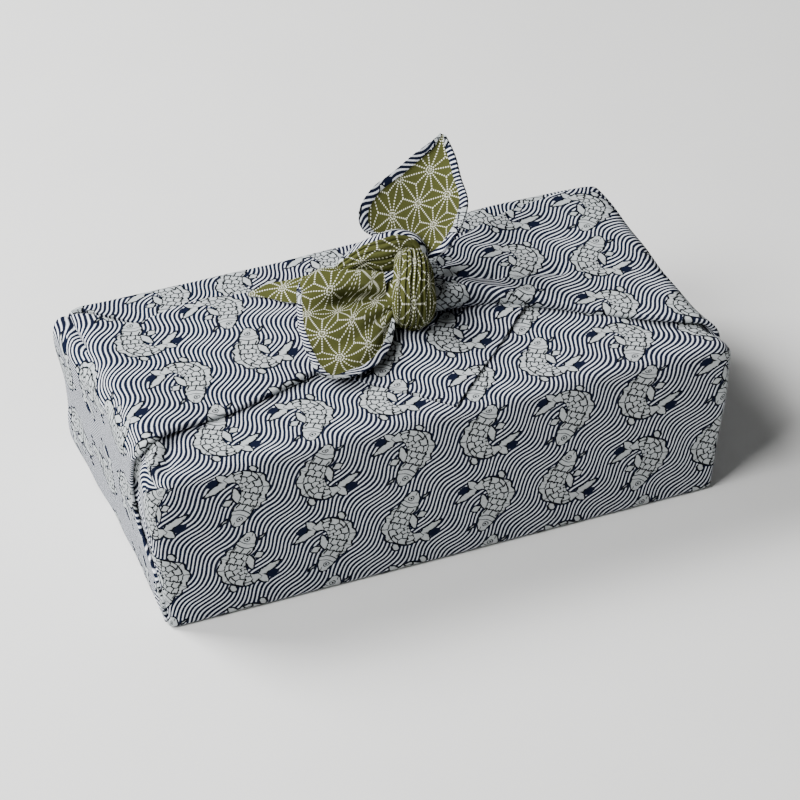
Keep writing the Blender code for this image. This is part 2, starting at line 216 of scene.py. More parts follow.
def smooth_rows(table, count):
    """A table's rows, read at count even steps along a smooth curve through them."""
    rows = np.array(table, dtype=float)
    rows = np.vstack([2 * rows[0] - rows[1], rows, 2 * rows[-1] - rows[-2]])
    at = np.linspace(0, len(table) - 1, count)
    first = np.minimum(at.astype(int), len(table) - 2)
    t = (at - first)[:, None]
    a, b, c, d = (rows[first + k] for k in range(4))
    return 0.5 * (2 * b + (c - a) * t + (2 * a - 5 * b + 4 * c - d) * t ** 2
                  + (3 * b - a - 3 * c + d) * t ** 3)


print("a smooth line through 0, 1 and 4:", smooth_rows([[0], [1], [4]], 5).ravel().round(2))


# %% Make one sheet
def grid_normals(middle):
    return unit(np.cross(np.gradient(middle, axis=0), np.gradient(middle, axis=1)))


def sheet(name, middle, flat, thickness=CLOTH, outer_up=True, hem=None, extra=0.0):
    """A closed sheet round its middle grid. hem marks the faces of the turned edge."""
    rows, columns = middle.shape[:2]
    normal = grid_normals(middle)
    half = thickness / 2
    thicker = np.broadcast_to(extra, (rows, columns))[..., None]
    up = normal * (half + (0.0 if outer_up else thicker))
    down = normal * (half + (thicker if outer_up else 0.0))
    points = np.concatenate([(middle + up).reshape(-1, 3), (middle - down).reshape(-1, 3)])
    under = rows * columns
    i, j = np.meshgrid(np.arange(rows - 1), np.arange(columns - 1), indexing="ij")
    a = (i * columns + j).ravel()
    b = a + columns
    top = np.stack([a, b, b + 1, a + 1], axis=1)
    bottom = np.stack([a, a + 1, b + 1, b], axis=1) + under
    ring = np.concatenate([np.arange(columns), np.arange(1, rows) * columns + columns - 1,
                           (rows - 1) * columns + np.arange(columns - 2, -1, -1),
                           np.arange(rows - 2, 0, -1) * columns])
    after = np.roll(ring, -1)
    rim = np.stack([ring, after, after + under, ring + under], axis=1)
    faces = np.concatenate([top, bottom, rim])
    turned = np.zeros(len(top), bool) if hem is None else hem.ravel()
    outer, inner = np.full(len(top), OUTER), np.where(turned, OUTER, INNER)
    slots = np.concatenate([outer if outer_up else inner, inner if outer_up else outer,
                            np.full(len(rim), OUTER)])
    uvs = flat.reshape(-1, 2)[faces.ravel() % under]
    return mesh_piece(name, points, faces.tolist(), uvs, slots)


print("a layer's half thickness, mm:", round(CLOTH / 2 / MM, 2))

# %% [markdown]
# ## The skin
#
# The front corner's cloth, the floor side and the back make one box round the parcel. It
# could be a rounded cube, but each of its six sides has to know its own part of the flat
# cloth: the front runs on over the top edge and under the floor, and its sides wrap round
# the upright edges onto the ends as gussets. So it is a grid, closer at the rounded edges.

# %% Lines of the skin's grid
GRID, INSIDE_GRID = 0.0033, 0.011
FINE_REACH = 0.035      # near the left end and the front the grid is twice as close
EDGE_STEPS, INSIDE_STEPS = 5, 3
INSIDE_DEPTH = 0.0032   # the coarse inner surface lies safely below every crease
HAIR = 1e-6             # keeps the corners of a face in one half of an end


def spaced(axis, grid, steps):
    """Positions along one axis of the block, closer inside its rounded edges."""
    low, high = BLOCK_LOW[axis], BLOCK_HIGH[axis]
    edge_low, edge_high = ROUND_LOW[axis], ROUND_HIGH[axis]
    turn = np.linspace(0.0, 1.0, steps, endpoint=False)
    inner = np.linspace(low + edge_low, high - edge_high,
                        int((high - low - edge_low - edge_high) / grid) + 1)
    if grid == GRID and axis < 2:
        close = inner[inner < low + FINE_REACH]
        inner = np.union1d(inner, close + (inner[1] - inner[0]) / 2)
    return np.concatenate([low + edge_low * turn, inner, high - edge_high * turn[::-1]])


def flat_place(point, axis, side):
    """Where a point of one side of the block lies on the flat cloth."""
    x, y, z = point
    from_front = y + DEPTH / 2
    if axis == 1:
        return (x, z) if side == 0 else (x, -DEPTH - z)
    if axis == 2:
        return (x, HEIGHT + from_front) if side else (x, -from_front)
    way = 1 if side else -1
    if y < 0:
        return (way * (LENGTH / 2 + from_front), z)
    return (way * (LENGTH / 2 + DEPTH - from_front), -DEPTH - z)


print("grid lines along x, y, z:", [len(spaced(axis, GRID, EDGE_STEPS)) for axis in range(3)])


# %% Build the skin
def build_box(name, grid, steps, depth, slot):
    """All six sides of the block as one closed surface, depth under the cloth's face."""
    lines = [spaced(axis, grid, steps) for axis in range(3)]
    last = [len(line) - 1 for line in lines]
    index, points, faces, uvs = {}, [], [], []

    def corner(key):
        if key not in index:
            index[key] = len(points)
            points.append([lines[a][key[a]] for a in range(3)])
        return index[key]

    for axis in range(3):
        one, two = (axis + 1) % 3, (axis + 2) % 3
        for side in (0, last[axis]):
            for i in range(last[one]):
                for j in range(last[two]):
                    keys = []
                    for a, b in ((i, j), (i + 1, j), (i + 1, j + 1), (i, j + 1)):
                        key = [0, 0, 0]
                        key[axis], key[one], key[two] = side, a, b
                        keys.append(corner(tuple(key)))
                    keys = keys if side else keys[::-1]
                    faces.append(keys)
                    middle_y = lines[1][i] if axis == 0 else 0
                    for k in keys:
                        x, y, z = points[k]
                        if axis == 0:
                            y = min(y, -HAIR) if middle_y < 0 else max(y, HAIR)
                        uvs.append(flat_place((x, y, z), axis, 1 if side else 0))
    points = np.array(points)
    lift = fold_lift(points) + slackness(points) * np.clip(points[:, 2] / FLOOR_FADE, 0, 1)
    uvs = np.array(uvs).reshape(-1, 4, 2)
    if slot == INNER:
        faces, uvs = [face[::-1] for face in faces], uvs[:, ::-1]
    return mesh_piece(name, lay(points, lift - depth), faces, uvs.reshape(-1, 2),
                      np.full(len(faces), slot))


pieces = [build_box("skin", GRID, EDGE_STEPS, 0.0, OUTER),
          build_box("skin_inside", INSIDE_GRID, INSIDE_STEPS, INSIDE_DEPTH, INNER)]
print("skin faces:", [len(piece.data.polygons) for piece in pieces])

# %% [markdown]
# ## Layers nobody sees
#
# The front corner is longer than the top, so it is folded back under it, and its point
# forward again. Without these layers the cloth would be short of its own corner. They are
# hidden, so wide faces are enough.

# %% Fold the front corner under
UNDER_LIFTS = (-0.0023, -0.0040)    # middles of the two layers, from the top's face
UNDER_EDGE = 0.007                  # how far inside the block's edges they stay
UNDER_ROWS, UNDER_COLUMNS = 15, 29
UNDER_POINT = 0.06                  # the width that is left at the point, as a share


def build_under(name, lift, inner_up, pointed):
    x_edge, y_edge = LENGTH / 2 - UNDER_EDGE, DEPTH / 2 - UNDER_EDGE
    middle = np.zeros((UNDER_ROWS, UNDER_COLUMNS, 3))
    for row, t in enumerate(np.linspace(-1.0, 1.0, UNDER_ROWS)):
        share = UNDER_POINT + (1 - UNDER_POINT) * (1.0 - t) / 2 if pointed else 1.0
        middle[row, :, 0] = np.linspace(-x_edge * share, x_edge * share, UNDER_COLUMNS)
        middle[row, :, 1] = y_edge * t
        middle[row, :, 2] = HEIGHT
    run = HEIGHT + DEPTH + (DEPTH / 2 - middle[..., 1])
    flat = np.stack([middle[..., 0], run if inner_up else run + DEPTH], axis=-1)
    laid = lay(middle, lift)
    return sheet(name, laid[:, ::-1], flat[:, ::-1], outer_up=not inner_up)


pieces += [build_under("under_one", UNDER_LIFTS[0], True, False),
           build_under("under_two", UNDER_LIFTS[1], False, True)]
print("hidden faces:", [len(piece.data.polygons) for piece in pieces[-2:]])

# %% [markdown]
# ## The pointed flap
#
# The back corner of the cloth runs up the back, over the edge and forward to a right-angled
# tip. Both its edges are hemmed: the last few millimetres are turned under, so the flap is
# thicker there and a fine line shows where the hem ends. The hem could be a strip of its
# own, but a few close columns of the same grid keep the edge in one piece.

# %% Hems
HEM = 0.0048            # width of the turned edge
HEM_EXTRA = 0.0005      # thickness that it adds
HEM_COLUMNS = np.array([0.0, 0.12, 0.5, 0.94, 1.06])    # across a hem; the last two are its step
WIDEST_TURN = 0.42      # share of a sheet's width that a hem or a tucked edge may take


def between(left, right, count):
    """Columns from edge to edge, with close ones over the hem on either side."""
    hem = np.minimum(HEM * math.sqrt(2), WIDEST_TURN * (right - left))[:, None]
    first = left[:, None] + hem * HEM_COLUMNS
    final = right[:, None] - hem * HEM_COLUMNS[::-1]
    inner = np.linspace(0.0, 1.0, count + 2)[1:-1]
    start, end = first[:, -1:], final[:, :1]
    return np.concatenate([first, start + (end - start) * inner, final], axis=1)


def side_hems(shape, wide):
    """Marks the faces of the turned edges on both sides, and the thickness at each point."""
    marked = np.zeros((shape[0] - 1, shape[1] - 1), bool)
    extra = np.zeros(shape)
    marked[:, :wide] = marked[:, -wide:] = True
    extra[:, :wide + 1] = extra[:, -wide - 1:] = HEM_EXTRA
    return marked, extra


print("hem, mm:", HEM / MM)

# %% Build the flap
TIP_X, TIP_Y = 0.006, -0.074
TIP_HALF_WIDTH = 0.0009
FLAP_ROOT, FLAP_UP_AT = 0.034, 0.008    # below the back edge: its start, and where it is up
ROOT_LIFT = -0.0003     # the root starts under the skin
LAYER_LIFT = 0.00215    # middle of a layer that lies on another
TIP_SETTLES, SETTLE_RUN, TIP_LOWER = 0.085, 0.030, 0.0013   # past the wings it lies lower
FLAP_SIDE = 0.003       # how far inside the block's ends the flap stays
EDGE_CLOSE, EDGE_NEXT, TIP_CLOSE = 0.0085, 0.010, 0.004     # close rows at the edge and tip
FLAP_COLUMNS = 80
FLAP_PRINT = np.array([-0.0063, 0.0009])        # how far the print is shifted on the flap


def build_flap():
    reach = DEPTH / 2 - TIP_Y
    path = np.concatenate([np.linspace(-FLAP_ROOT, -EDGE_NEXT, 9),
                           np.linspace(-EDGE_CLOSE, EDGE_CLOSE, 12),
                           np.linspace(EDGE_NEXT, reach - TIP_CLOSE, 54),
                           reach - TIP_CLOSE * np.array([0.6, 0.3, 0.1, 0.0])])
    to_tip = np.maximum(reach - path, TIP_HALF_WIDTH)
    side = LENGTH / 2 - FLAP_SIDE
    x = between(np.maximum(TIP_X - to_tip, -side), np.minimum(TIP_X + to_tip, side),
                FLAP_COLUMNS)
    y = np.broadcast_to((DEPTH / 2 - np.maximum(path, 0.0))[:, None], x.shape)
    z = np.broadcast_to((HEIGHT + np.minimum(path, 0.0))[:, None], x.shape)
    points = np.stack([x, y, z], axis=-1)
    rise = np.clip((path + FLAP_ROOT) / (FLAP_ROOT - FLAP_UP_AT), 0.0, 1.0)[:, None]
    settle = np.clip((path - TIP_SETTLES) / SETTLE_RUN, 0.0, 1.0)[:, None] * TIP_LOWER
    lift = ROOT_LIFT + rise * (LAYER_LIFT - ROOT_LIFT) - settle + fold_lift(points)
    lift = lift + slackness(points)
    along = np.broadcast_to(-(DEPTH + HEIGHT + path)[:, None], x.shape)
    flat = np.stack([x, along], axis=-1) + FLAP_PRINT * rise[..., None]
    marked, extra = side_hems(x.shape, 3)
    return sheet("flap", lay(points, lift), flat, hem=marked, extra=extra)


pieces.append(build_flap())
print("flap faces:", len(pieces[-1].data.polygons))

# %% [markdown]
# ## The wings
#
# Each end corner comes up its end and over the top into the knot. Its long edges are folded
# under, which leaves a soft roll along the front. So the section across a wing is a line
# that starts hidden below, turns round the front roll, crosses the top, and turns under
# again at the back. Near the knot the same width of cloth is crowded together in gathers.
# A bevelled curve could follow such a path, but only a table gives each place its own
# width, lift and roll.

# %% Tables of the wings
LEFT_WING = (
    # in mm: path, front, back, lift_front, lift_middle, lift_back
    (2, -76, 77, 0.1, 0.6, 3.0),
    (13, -74, 77, 0.3, 1.2, 5.0),
    (22, -66, 77, 0.7, 1.6, 5.0),
    (29, -53, 77, 1.0, 2.0, 3.6),
    (36, -39, 76, 1.2, 2.4, 2.8),
    (47, -32, 76, 1.2, 2.8, 2.4),
    (57, -33, 76, 1.3, 3.0, 3.4),
    (67, -37, 76, 1.6, 3.3, 5.0),
    (78, -43, 76, 2.0, 3.6, 6.4),
    (86, -48, 76, 2.8, 3.8, 6.0),
    (92, -50, 74, 3.8, 3.9, 3.4),
    (99, -49, 68.6, 4.8, 4.1, 3.8),
    (107, -46, 60.6, 5.2, 4.4, 3.8),
    (115, -44, 52.6, 4.4, 4.8, 3.8),
    (121, -42.5, 49, 3.6, 5.4, 4.2),
    (129, -41, 51, 3.2, 5.7, 4.6),
    (142, -39, 55, 3.0, 6.0, 4.8),
    (160, -34, 56, 3.2, 6.6, 5.2),
    (190, -25, 51, 4.0, 7.6, 5.6),
    (215, -17, 43, 6.0, 9.0, 7.5),
    (236, -8, 32, 9.0, 12.0, 10.0),
)
RIGHT_WING = (
    (2, -76, 77, 0.5, 0.5, 0.5),
    (24, -72, 77, 1.4, 1.6, 1.2),
    (45, -68, 77, 1.8, 2.6, 1.8),
    (84, -61, 76, 2.6, 3.4, 2.6),
    (98, -56, 74, 3.2, 4.0, 4.6),
    (115, -46, 72, 3.4, 4.6, 5.2),
    (140, -29, 68, 4.0, 5.0, 5.4),
    (165, -14, 61, 8.0, 5.6, 5.6),
    (190, -4, 50, 12.0, 8.0, 7.0),
    (208, -6, 36, 16.0, 14.0, 12.0),
    (226, -6, 28, 18.0, 21.0, 17.0),
)
LEFT_FOLDS = (
    # creases in mm of the block, with the same columns as the skin's
    (-150, 80, 91, -150, 42, 91, 2.0, -3.6),
)
RIGHT_FOLDS = (
    (30, 22, 91, 63, 14, 91, 3.4, -3.2),
    (63, 14, 91, 96, 7, 91, 3.0, -2.0),
    (96, 7, 91, 126, 3, 91, 2.6, -1.1),
    (66, 45, 91, 112, 34, 91, 2.4, -1.0),
)
print("wing paths, mm:", LEFT_WING[-1][0], RIGHT_WING[-1][0])

# %% Section across a wing
WING_ROWS, WING_COLUMNS = 100, 60
ROLL_STEPS, TUCK_STEPS = 7, 7
UNDER_ROLL = 0.0012     # room for the layer that a roll lies on
FRONT_ROLL_LEAST, BACK_ROLL_LEAST, BACK_ROLL_MOST = 0.0004, 0.0003, 0.0030
THIN_ROLL = (0.130, 0.165), (0.0011, 0.0056)    # along the path: crisp edge, then a full roll
TUCKED = 0.026          # cloth folded under along each long edge
TUCK_SINKS = 0.5        # share of its lift that it loses towards its hidden edge
GATHERS, GATHER_START = 3.5, 0.6                # waves across the wing, and their start


def half_turn(radius, towards):
    """Steps round a fold: offsets along the sheet and off it, from its top to its bottom."""
    angle = np.linspace(0.0, math.pi, ROLL_STEPS + 1)[None, :]
    return towards * radius * np.sin(angle), radius * (np.cos(angle) - 1.0)


def wing_section(front, back, at_front, at_middle, at_back, gather, roll_limit):
    """Positions across each row of a wing and their lifts, from edge to hidden edge."""
    roll_front = np.clip(0.5 * (at_front - UNDER_ROLL), FRONT_ROLL_LEAST, roll_limit)
    roll_back = np.clip(0.5 * (at_back - UNDER_ROLL), BACK_ROLL_LEAST, BACK_ROLL_MOST)
    s = np.linspace(0.0, 1.0, WING_COLUMNS)[None, :]
    start, end = front + roll_front, back - roll_back
    across = start + (end - start) * s
    lift = at_front * (1 - s) * (1 - 2 * s) + at_middle * 4 * s * (1 - s)
    lift = lift + at_back * s * (2 * s - 1)
    waves = np.sin(s * GATHERS * 2 * math.pi + GATHER_START) * np.sin(s * math.pi)
    lift = lift + gather * waves
    over, down = half_turn(roll_front, -1.0)
    over, down = over[:, :0:-1], down[:, :0:-1]
    behind, sunk = half_turn(roll_back, 1.0)
    tuck = np.linspace(0.0, 1.0, TUCK_STEPS)[None, 1:]
    hide = np.minimum(TUCKED, WIDEST_TURN * (back - front)) * tuck
    low_front = lift[:, :1] - 2 * roll_front
    low_back = lift[:, -1:] - 2 * roll_back
    ease = 1 - tuck * TUCK_SINKS
    positions = [(start + hide)[:, ::-1], start + over, across, end + behind[:, 1:], end - hide]
    lifts = [(low_front * ease)[:, ::-1], lift[:, :1] + down, lift, lift[:, -1:] + sunk[:, 1:],
             low_back * ease]
    return np.concatenate(positions, axis=1), np.concatenate(lifts, axis=1) - CLOTH / 2


print("grid of a wing:", WING_ROWS, "by", WING_COLUMNS + 2 * (ROLL_STEPS + TUCK_STEPS - 1))

# %% Build the wings
CARP_AT = (-110.4, 33.1)            # a carp's middle on the flat cloth, mm
LEFT_TURN, RIGHT_TURN = 12.0, -15.0                 # the print's turn on each wing, degrees
LEFT_CARP, RIGHT_CARP = np.array([-0.074, 0.000]), np.array([0.118, 0.013])
GATHER_FROM, GATHER_TO = 0.175, 0.232               # along the path, where gathers grow
GATHER_DEPTH, CROWDING = 0.0013, 1.5
WING_SEED = 5


def build_wing(name, table, folds, mirror, turn, carp):
    values = smooth_rows(table, WING_ROWS)[..., None] * MM
    path, front, back, at_front, at_middle, at_back = values.transpose(1, 0, 2)
    grow = np.clip((path - GATHER_FROM) / (GATHER_TO - GATHER_FROM), 0.0, 1.0)
    y, lift = wing_section(front, back, at_front, at_middle, at_back, GATHER_DEPTH * grow,
                           np.interp(path, *THIN_ROLL))
    up_end = path < HEIGHT
    x = np.where(up_end, -LENGTH / 2, -LENGTH / 2 + path - HEIGHT)
    z = np.where(up_end, path, HEIGHT)
    points = np.stack([np.broadcast_to(x, y.shape), y, np.broadcast_to(z, y.shape)], axis=-1)
    arc = np.zeros_like(y)
    arc[:, 1:] = np.cumsum(np.hypot(np.diff(y, axis=1), np.diff(lift, axis=1)), axis=1)
    from_centre = arc - np.median(arc, axis=1, keepdims=True)
    flat_y = (front + back) / 2 + from_centre * (1 + (CROWDING - 1) * grow ** 2)
    flat_x = np.broadcast_to(path - HEIGHT - LENGTH / 2, y.shape)
    points[..., 0] *= mirror
    place = np.stack([flat_x * mirror, flat_y], axis=-1) - carp
    angle = math.radians(-turn)
    spin = np.array([[math.cos(angle), math.sin(angle)], [-math.sin(angle), math.cos(angle)]])
    flat = place @ spin + np.array(CARP_AT) * MM
    lift = lift + slackness(points, seed=WING_SEED) + fold_lift(points, folds)
    if mirror < 0:
        points, lift, flat = points[:, ::-1], lift[:, ::-1], flat[:, ::-1]
    return sheet(name, lay(points, lift), flat)


pieces.append(build_wing("left_wing", LEFT_WING, LEFT_FOLDS, 1.0, LEFT_TURN, LEFT_CARP))
pieces.append(build_wing("right_wing", RIGHT_WING, RIGHT_FOLDS, -1.0, RIGHT_TURN, RIGHT_CARP))
print("wing faces:", [len(piece.data.polygons) for piece in pieces[-2:]])

# %% [markdown]
# ## The knot
#
# A square knot shows a few plump bands of the inner face. One long tube could be tied as a
# real knot, but its hidden turns would be seen by nobody. So each band that shows is a
# flattened tube that follows its own short table, with pleats pressed into it along its
# length, and a tight middle fills what lies behind them.

# %% Tables of the knot
FRONT_BAND = (
    # in mm from the middle of the top: x, y, z, half_width, half_thickness
    (18, 27, 20, 7, 5),
    (17, 16, 27, 9, 7),
    (13.5, 3, 29, 10.3, 7.5),
    (10, -6.5, 26, 11, 7.5),
    (8.3, -11.5, 20, 11.3, 7),
    (7.3, -12, 13.5, 10.4, 6.5),
    (7, -8, 7.5, 8, 5),
    (8, 0, 4, 7, 4),
)
TOP_BAND = (
    (-20, 34, 14, 4.5, 3),
    (-13, 31, 20.5, 6, 5),
    (-3, 28, 27, 8, 7),
    (6, 24.5, 29.5, 10.2, 8),
    (14, 24, 30.5, 9.6, 8),
    (19, 20.5, 28.5, 8.2, 7),
    (18, 12, 19, 6, 6),
)
FRONT_BAND_FACES, TOP_BAND_FACES = (-0.15, -1.0, 0.5), (-0.27, -0.75, 0.61)     # directions
FRONT_PLEATS = (
    # across the band, start and end (-1 to 1), width, depth in mm
    (-0.72, -0.80, 0.08, 1.7), (-0.45, -0.62, 0.06, 1.5), (-0.20, -0.36, 0.06, 2.0),
    (0.02, -0.10, 0.05, 1.3), (0.24, 0.16, 0.06, 2.1), (0.47, 0.42, 0.05, 1.4),
    (0.70, 0.68, 0.07, 1.8),
)
TOP_PLEATS = ((-0.50, -0.30, 0.07, 1.3), (-0.12, 0.02, 0.06, 1.1), (0.42, 0.34, 0.07, 3.0),
              (0.72, 0.70, 0.06, 1.2))
KNOT_CORE = (10, 9, 10, 11.5, 12.5, 10.5)       # middle x, y, z and half sizes, mm
print("pleats of the two bands:", len(FRONT_PLEATS), len(TOP_PLEATS))


# %% Follow a line
def on_top(points):
    """Points measured from the middle of the parcel's top, in the frame."""
    return points + np.array([0.0, 0.0, HEIGHT]) + ORIGIN_SHIFT


def frames_along(middle, faces):
    """Unit directions across a sheet or band and out of its face, along its middle line."""
    run = unit(np.gradient(middle, axis=0))
    across = unit(np.cross(run, np.array(faces, dtype=float)))
    return across, np.cross(across, run)


def spread(middle, faces, sideways, outwards):
    """A grid beside a middle line, from how far each point is sideways and outwards."""
    across, facing = frames_along(middle, faces)
    return (middle[:, None, :] + across[:, None, :] * sideways[..., None]
            + facing[:, None, :] * outwards[..., None])


def length_along(middle):
    steps = np.linalg.norm(np.diff(middle, axis=0), axis=1)
    return np.concatenate([[0.0], np.cumsum(steps)])


print("front band, mm:", round(length_along(np.array(FRONT_BAND)[:, :3])[-1], 1))

# %% Build a band of the knot
BAND_ROWS, BAND_AROUND = 54, 80
PLEAT_MARGIN, PLEAT_FADE = 0.03, 0.4    # how pleats die away at a band's ends
ACROSS_BAND = 2.6                       # cloth once across a band, in half widths
BAND_CROWD, FRONT_CROWD = 3.2, 4.8      # how many times more cloth is pleated into it
FRONT_FLAT, TOP_FLAT = (0.31, 0.02), (-0.33, 0.05)      # where they lie on the flat cloth
BAND_HEM_AT, BAND_HEM = 2.72, 0.46      # the turned edge's place on a ring and its half width


def build_band(name, table, faces, pleats, flat_start, crowd, hemmed):
    values = smooth_rows(table, BAND_ROWS) * MM
    middle, half_width, half_thick = values[:, :3], values[:, 3:4], values[:, 4:5]
    turn = np.linspace(0, 2 * math.pi, BAND_AROUND + 1)[None, :]
    share = np.cos(turn)
    along = np.linspace(0.0, 1.0, BAND_ROWS)[:, None]
    sink = np.zeros((BAND_ROWS, BAND_AROUND + 1))
    for start, end, width, depth in pleats:
        at = start + (end - start) * along
        sink += depth * MM * np.exp(-((share - at) / width) ** 2)
    inside = PLEAT_MARGIN + (1 - 2 * PLEAT_MARGIN) * along
    sink *= np.sin(math.pi * inside) ** PLEAT_FADE
    rings = on_top(spread(middle, faces, half_width * share, (half_thick - sink) * np.sin(turn)))
    girth = np.linspace(0.0, 1.0, BAND_AROUND + 1) * ACROSS_BAND
    girth = girth * float(half_width.mean()) * crowd
    flat = np.stack(np.meshgrid(length_along(middle), girth, indexing="ij"), axis=-1)
    flat = flat + np.array(flat_start)
    quads, uvs = [], []
    for i in range(BAND_ROWS - 1):
        here, there = i * BAND_AROUND, (i + 1) * BAND_AROUND
        for j in range(BAND_AROUND):
            k = (j + 1) % BAND_AROUND
            quads.append([here + j, here + k, there + k, there + j])
            uvs += [flat[i, j], flat[i, j + 1], flat[i + 1, j + 1], flat[i + 1, j]]
    first = list(range(BAND_AROUND))
    caps = [first[::-1], [(BAND_ROWS - 1) * BAND_AROUND + j for j in first]]
    uvs += [flat[0, 0]] * (2 * BAND_AROUND)
    at = (turn[0, :-1] + turn[0, 1:]) / 2
    ring_slots = np.where(hemmed & (np.abs(at - BAND_HEM_AT) < BAND_HEM), OUTER, INNER)
    slots = np.concatenate([np.tile(ring_slots, BAND_ROWS - 1), [INNER, INNER]])
    return mesh_piece(name, rings[:, :-1].reshape(-1, 3), quads + caps, uvs, slots)


print("faces of a band:", (BAND_ROWS - 1) * BAND_AROUND + 2)

# %% Build the knot
CORE_STEPS = 4


def build_core():
    x, y, z, half_x, half_y, half_z = (value * MM for value in KNOT_CORE)
    ball = bmesh.new()
    bmesh.ops.create_icosphere(ball, subdivisions=CORE_STEPS, radius=1.0)
    points = np.array([v.co for v in ball.verts]) * (half_x, half_y, half_z) + (x, y, z)
    faces = [[v.index for v in face.verts] for face in ball.faces]
    ball.free()
    corners = points[np.array(faces).ravel()]
    return mesh_piece("knot_core", on_top(points), faces, corners[:, [0, 2]],
                      np.full(len(faces), INNER))


pieces.append(build_core())
pieces.append(build_band("front_band", FRONT_BAND, FRONT_BAND_FACES, FRONT_PLEATS, FRONT_FLAT,
                         FRONT_CROWD, False))
pieces.append(build_band("top_band", TOP_BAND, TOP_BAND_FACES, TOP_PLEATS, TOP_FLAT,
                         BAND_CROWD, True))
print("knot pieces:", [piece.name for piece in pieces[-3:]])

# %% [markdown]
# ## The tails
#
# The tails are the cloth's own corners. The olive inner face looks at us, and the hem shows
# the waves along both edges. The standing tail and the small fold at the back are sheets
# along a short table: a middle line, how wide it is on either side and how far each edge
# curls. The front tail folds deeply on itself, which no such table can say, so a smooth
# surface is drawn through a net of points.

# %% Tables of the tails
UPPER_TAIL = (
    # in mm from the middle of the top: x, y, z, left, right, left_curl, right_curl
    (19, 27, 24, 12, 13, 4, 4),
    (22, 30, 29, 22, 22, 6, 6),
    (25, 34, 36, 28, 26, 6, 5),
    (29, 38, 43, 26, 27, 5, 4),
    (34, 42, 50, 20, 26, 4, 4),
    (39, 46, 57, 14, 20, 3, 3),
    (45, 50, 65, 8, 11.5, 2, 2),
    (50, 54, 73, 1.5, 1.5, 0, 0),
)
BACK_SLIVER = (
    (-62, 46.5, 6, 0.8, 0.8, 0, 0),
    (-52, 43, 9, 4.5, 4.5, -1, -1),
    (-43, 36, 12.5, 7, 8, -2, -2),
    (-35, 30.5, 15.5, 8, 10, -2, -2),
    (-24, 26, 17.5, 9, 11, -2, -2),
)
LOWER_TAIL = (
    # each row crosses the tail from behind its ridge to its front edge: (x, y, z), ...
    ((8, 30, 14), (3, 19, 22), (1, 11, 20), (0, 7, 13), (0, 1, 12), (-1, -4, 12), (-2, -9, 10)),
    ((0, 34, 14), (-6, 23, 23), (-9, 13, 21.5), (-10, 13, 11), (-12, -2, 15), (-9.3, -12, 11),
     (-5.7, -16, 7)),
    ((-11, 38, 14), (-17.5, 28, 22.5), (-19.5, 17, 21.5), (-20, 14.5, 10.5), (-22.5, -5, 16),
     (-19.3, -23.5, 11), (-12.3, -26.3, 6)),
    ((-21, 40, 14), (-27, 32.5, 21.5), (-28, 19, 20), (-30, 10, 13.5), (-34, -7, 16),
     (-30.3, -30, 9.5), (-21, -34.3, 5.5)),
    ((-30, 38, 13), (-34, 32, 19.5), (-36.5, 22, 18.5), (-40, 7.5, 15.8), (-43.3, -7, 15),
     (-40.6, -31, 9), (-31.5, -38.4, 5.5)),
    ((-36, 34, 12), (-38, 30.5, 17.5), (-41, 20.5, 17), (-45.5, 6, 15.5), (-48.5, -8, 13.8),
     (-48.7, -31.6, 8.5), (-40.2, -38, 5)),
    ((-39, 30, 11), (-40, 29, 15), (-43.5, 19, 15.5), (-48, 5, 14), (-51, -7.5, 12.5),
     (-52, -29.2, 8), (-46, -36.2, 5)),
)
UPPER_TAIL_FACES, BACK_SLIVER_FACES = (-0.47, -0.60, 0.65), (-0.10, -0.30, 1.0)
print("net of the front tail:", np.array(LOWER_TAIL).shape[:2])

# %% Build a tail along a line
TAIL_CLOTH = 0.0012
TAIL_HEM_MOST = 0.7     # share of a tail's side that its hem may take
TIP_SHORT = 0.002       # the tip stops this far before the flat cloth's corner
CROWDED_AT = 0.055      # from the tip, where the cloth is fully crowded together
TAIL_GRID, SLIVER_GRID = (48, 40), (20, 14)


def build_tail(name, table, faces, way, grid, tip_last, hemmed):
    rows, columns = grid
    values = smooth_rows(table, rows) * MM
    middle, left, right, left_curl, right_curl = np.split(values, (3, 4, 5, 6), axis=1)
    steps = np.delete(HEM_COLUMNS, 1)
    on_left = np.minimum(HEM / left, TAIL_HEM_MOST) * steps
    on_right = np.minimum(HEM / right, TAIL_HEM_MOST) * steps
    inner = np.linspace(0.0, 1.0, columns + 2)[None, 1:-1]
    inner = (-1 + on_left[:, -1:]) * (1 - inner) + (1 - on_right[:, -1:]) * inner
    share = np.concatenate([-1 + on_left, inner, (1 - on_right)[:, ::-1]], axis=1)
    reach = np.where(share < 0, left, right) * share
    stand = np.where(share < 0, left_curl, right_curl) * share ** 2
    length = length_along(middle)
    to_tip = (length[-1] - length if tip_last else length)[:, None] + TIP_SHORT
    widen = 1 + (CROWDING - 1) * np.clip(to_tip / CROWDED_AT, 0, 1) ** 2
    flat = np.stack([np.broadcast_to(way * (CORNER - to_tip), reach.shape), reach * widen],
                    axis=-1)
    marked, extra = side_hems(share.shape, 2)
    if not hemmed:
        marked, extra = None, 0.0
    return sheet(name, on_top(spread(middle, faces, reach, stand)), flat, TAIL_CLOTH,
                 hem=marked, extra=extra)


pieces.append(build_tail("upper_tail", UPPER_TAIL, UPPER_TAIL_FACES, 1.0, TAIL_GRID, True, True))
print("standing tail's faces:", len(pieces[-1].data.polygons))

# %% Build the front tail
LOWER_ROWS, LOWER_COLUMNS, LOWER_FINE = 46, 60, 200
LOWER_HEM = 0.45                    # share of the last step of each row that is turned under
HEM_FACES, END_FACES = 3, 8         # faces in the turned edge at the front and at the end
PUCKER, PUCKER_PITCH, PUCKER_START = 0.0006, 7.0, 1.0       # gathers that fade from the knot
CREASE_AT, CREASE_WIDTH, CREASE_DEPTH = 4.55, 0.10, 0.0016      # a crease near the front edge


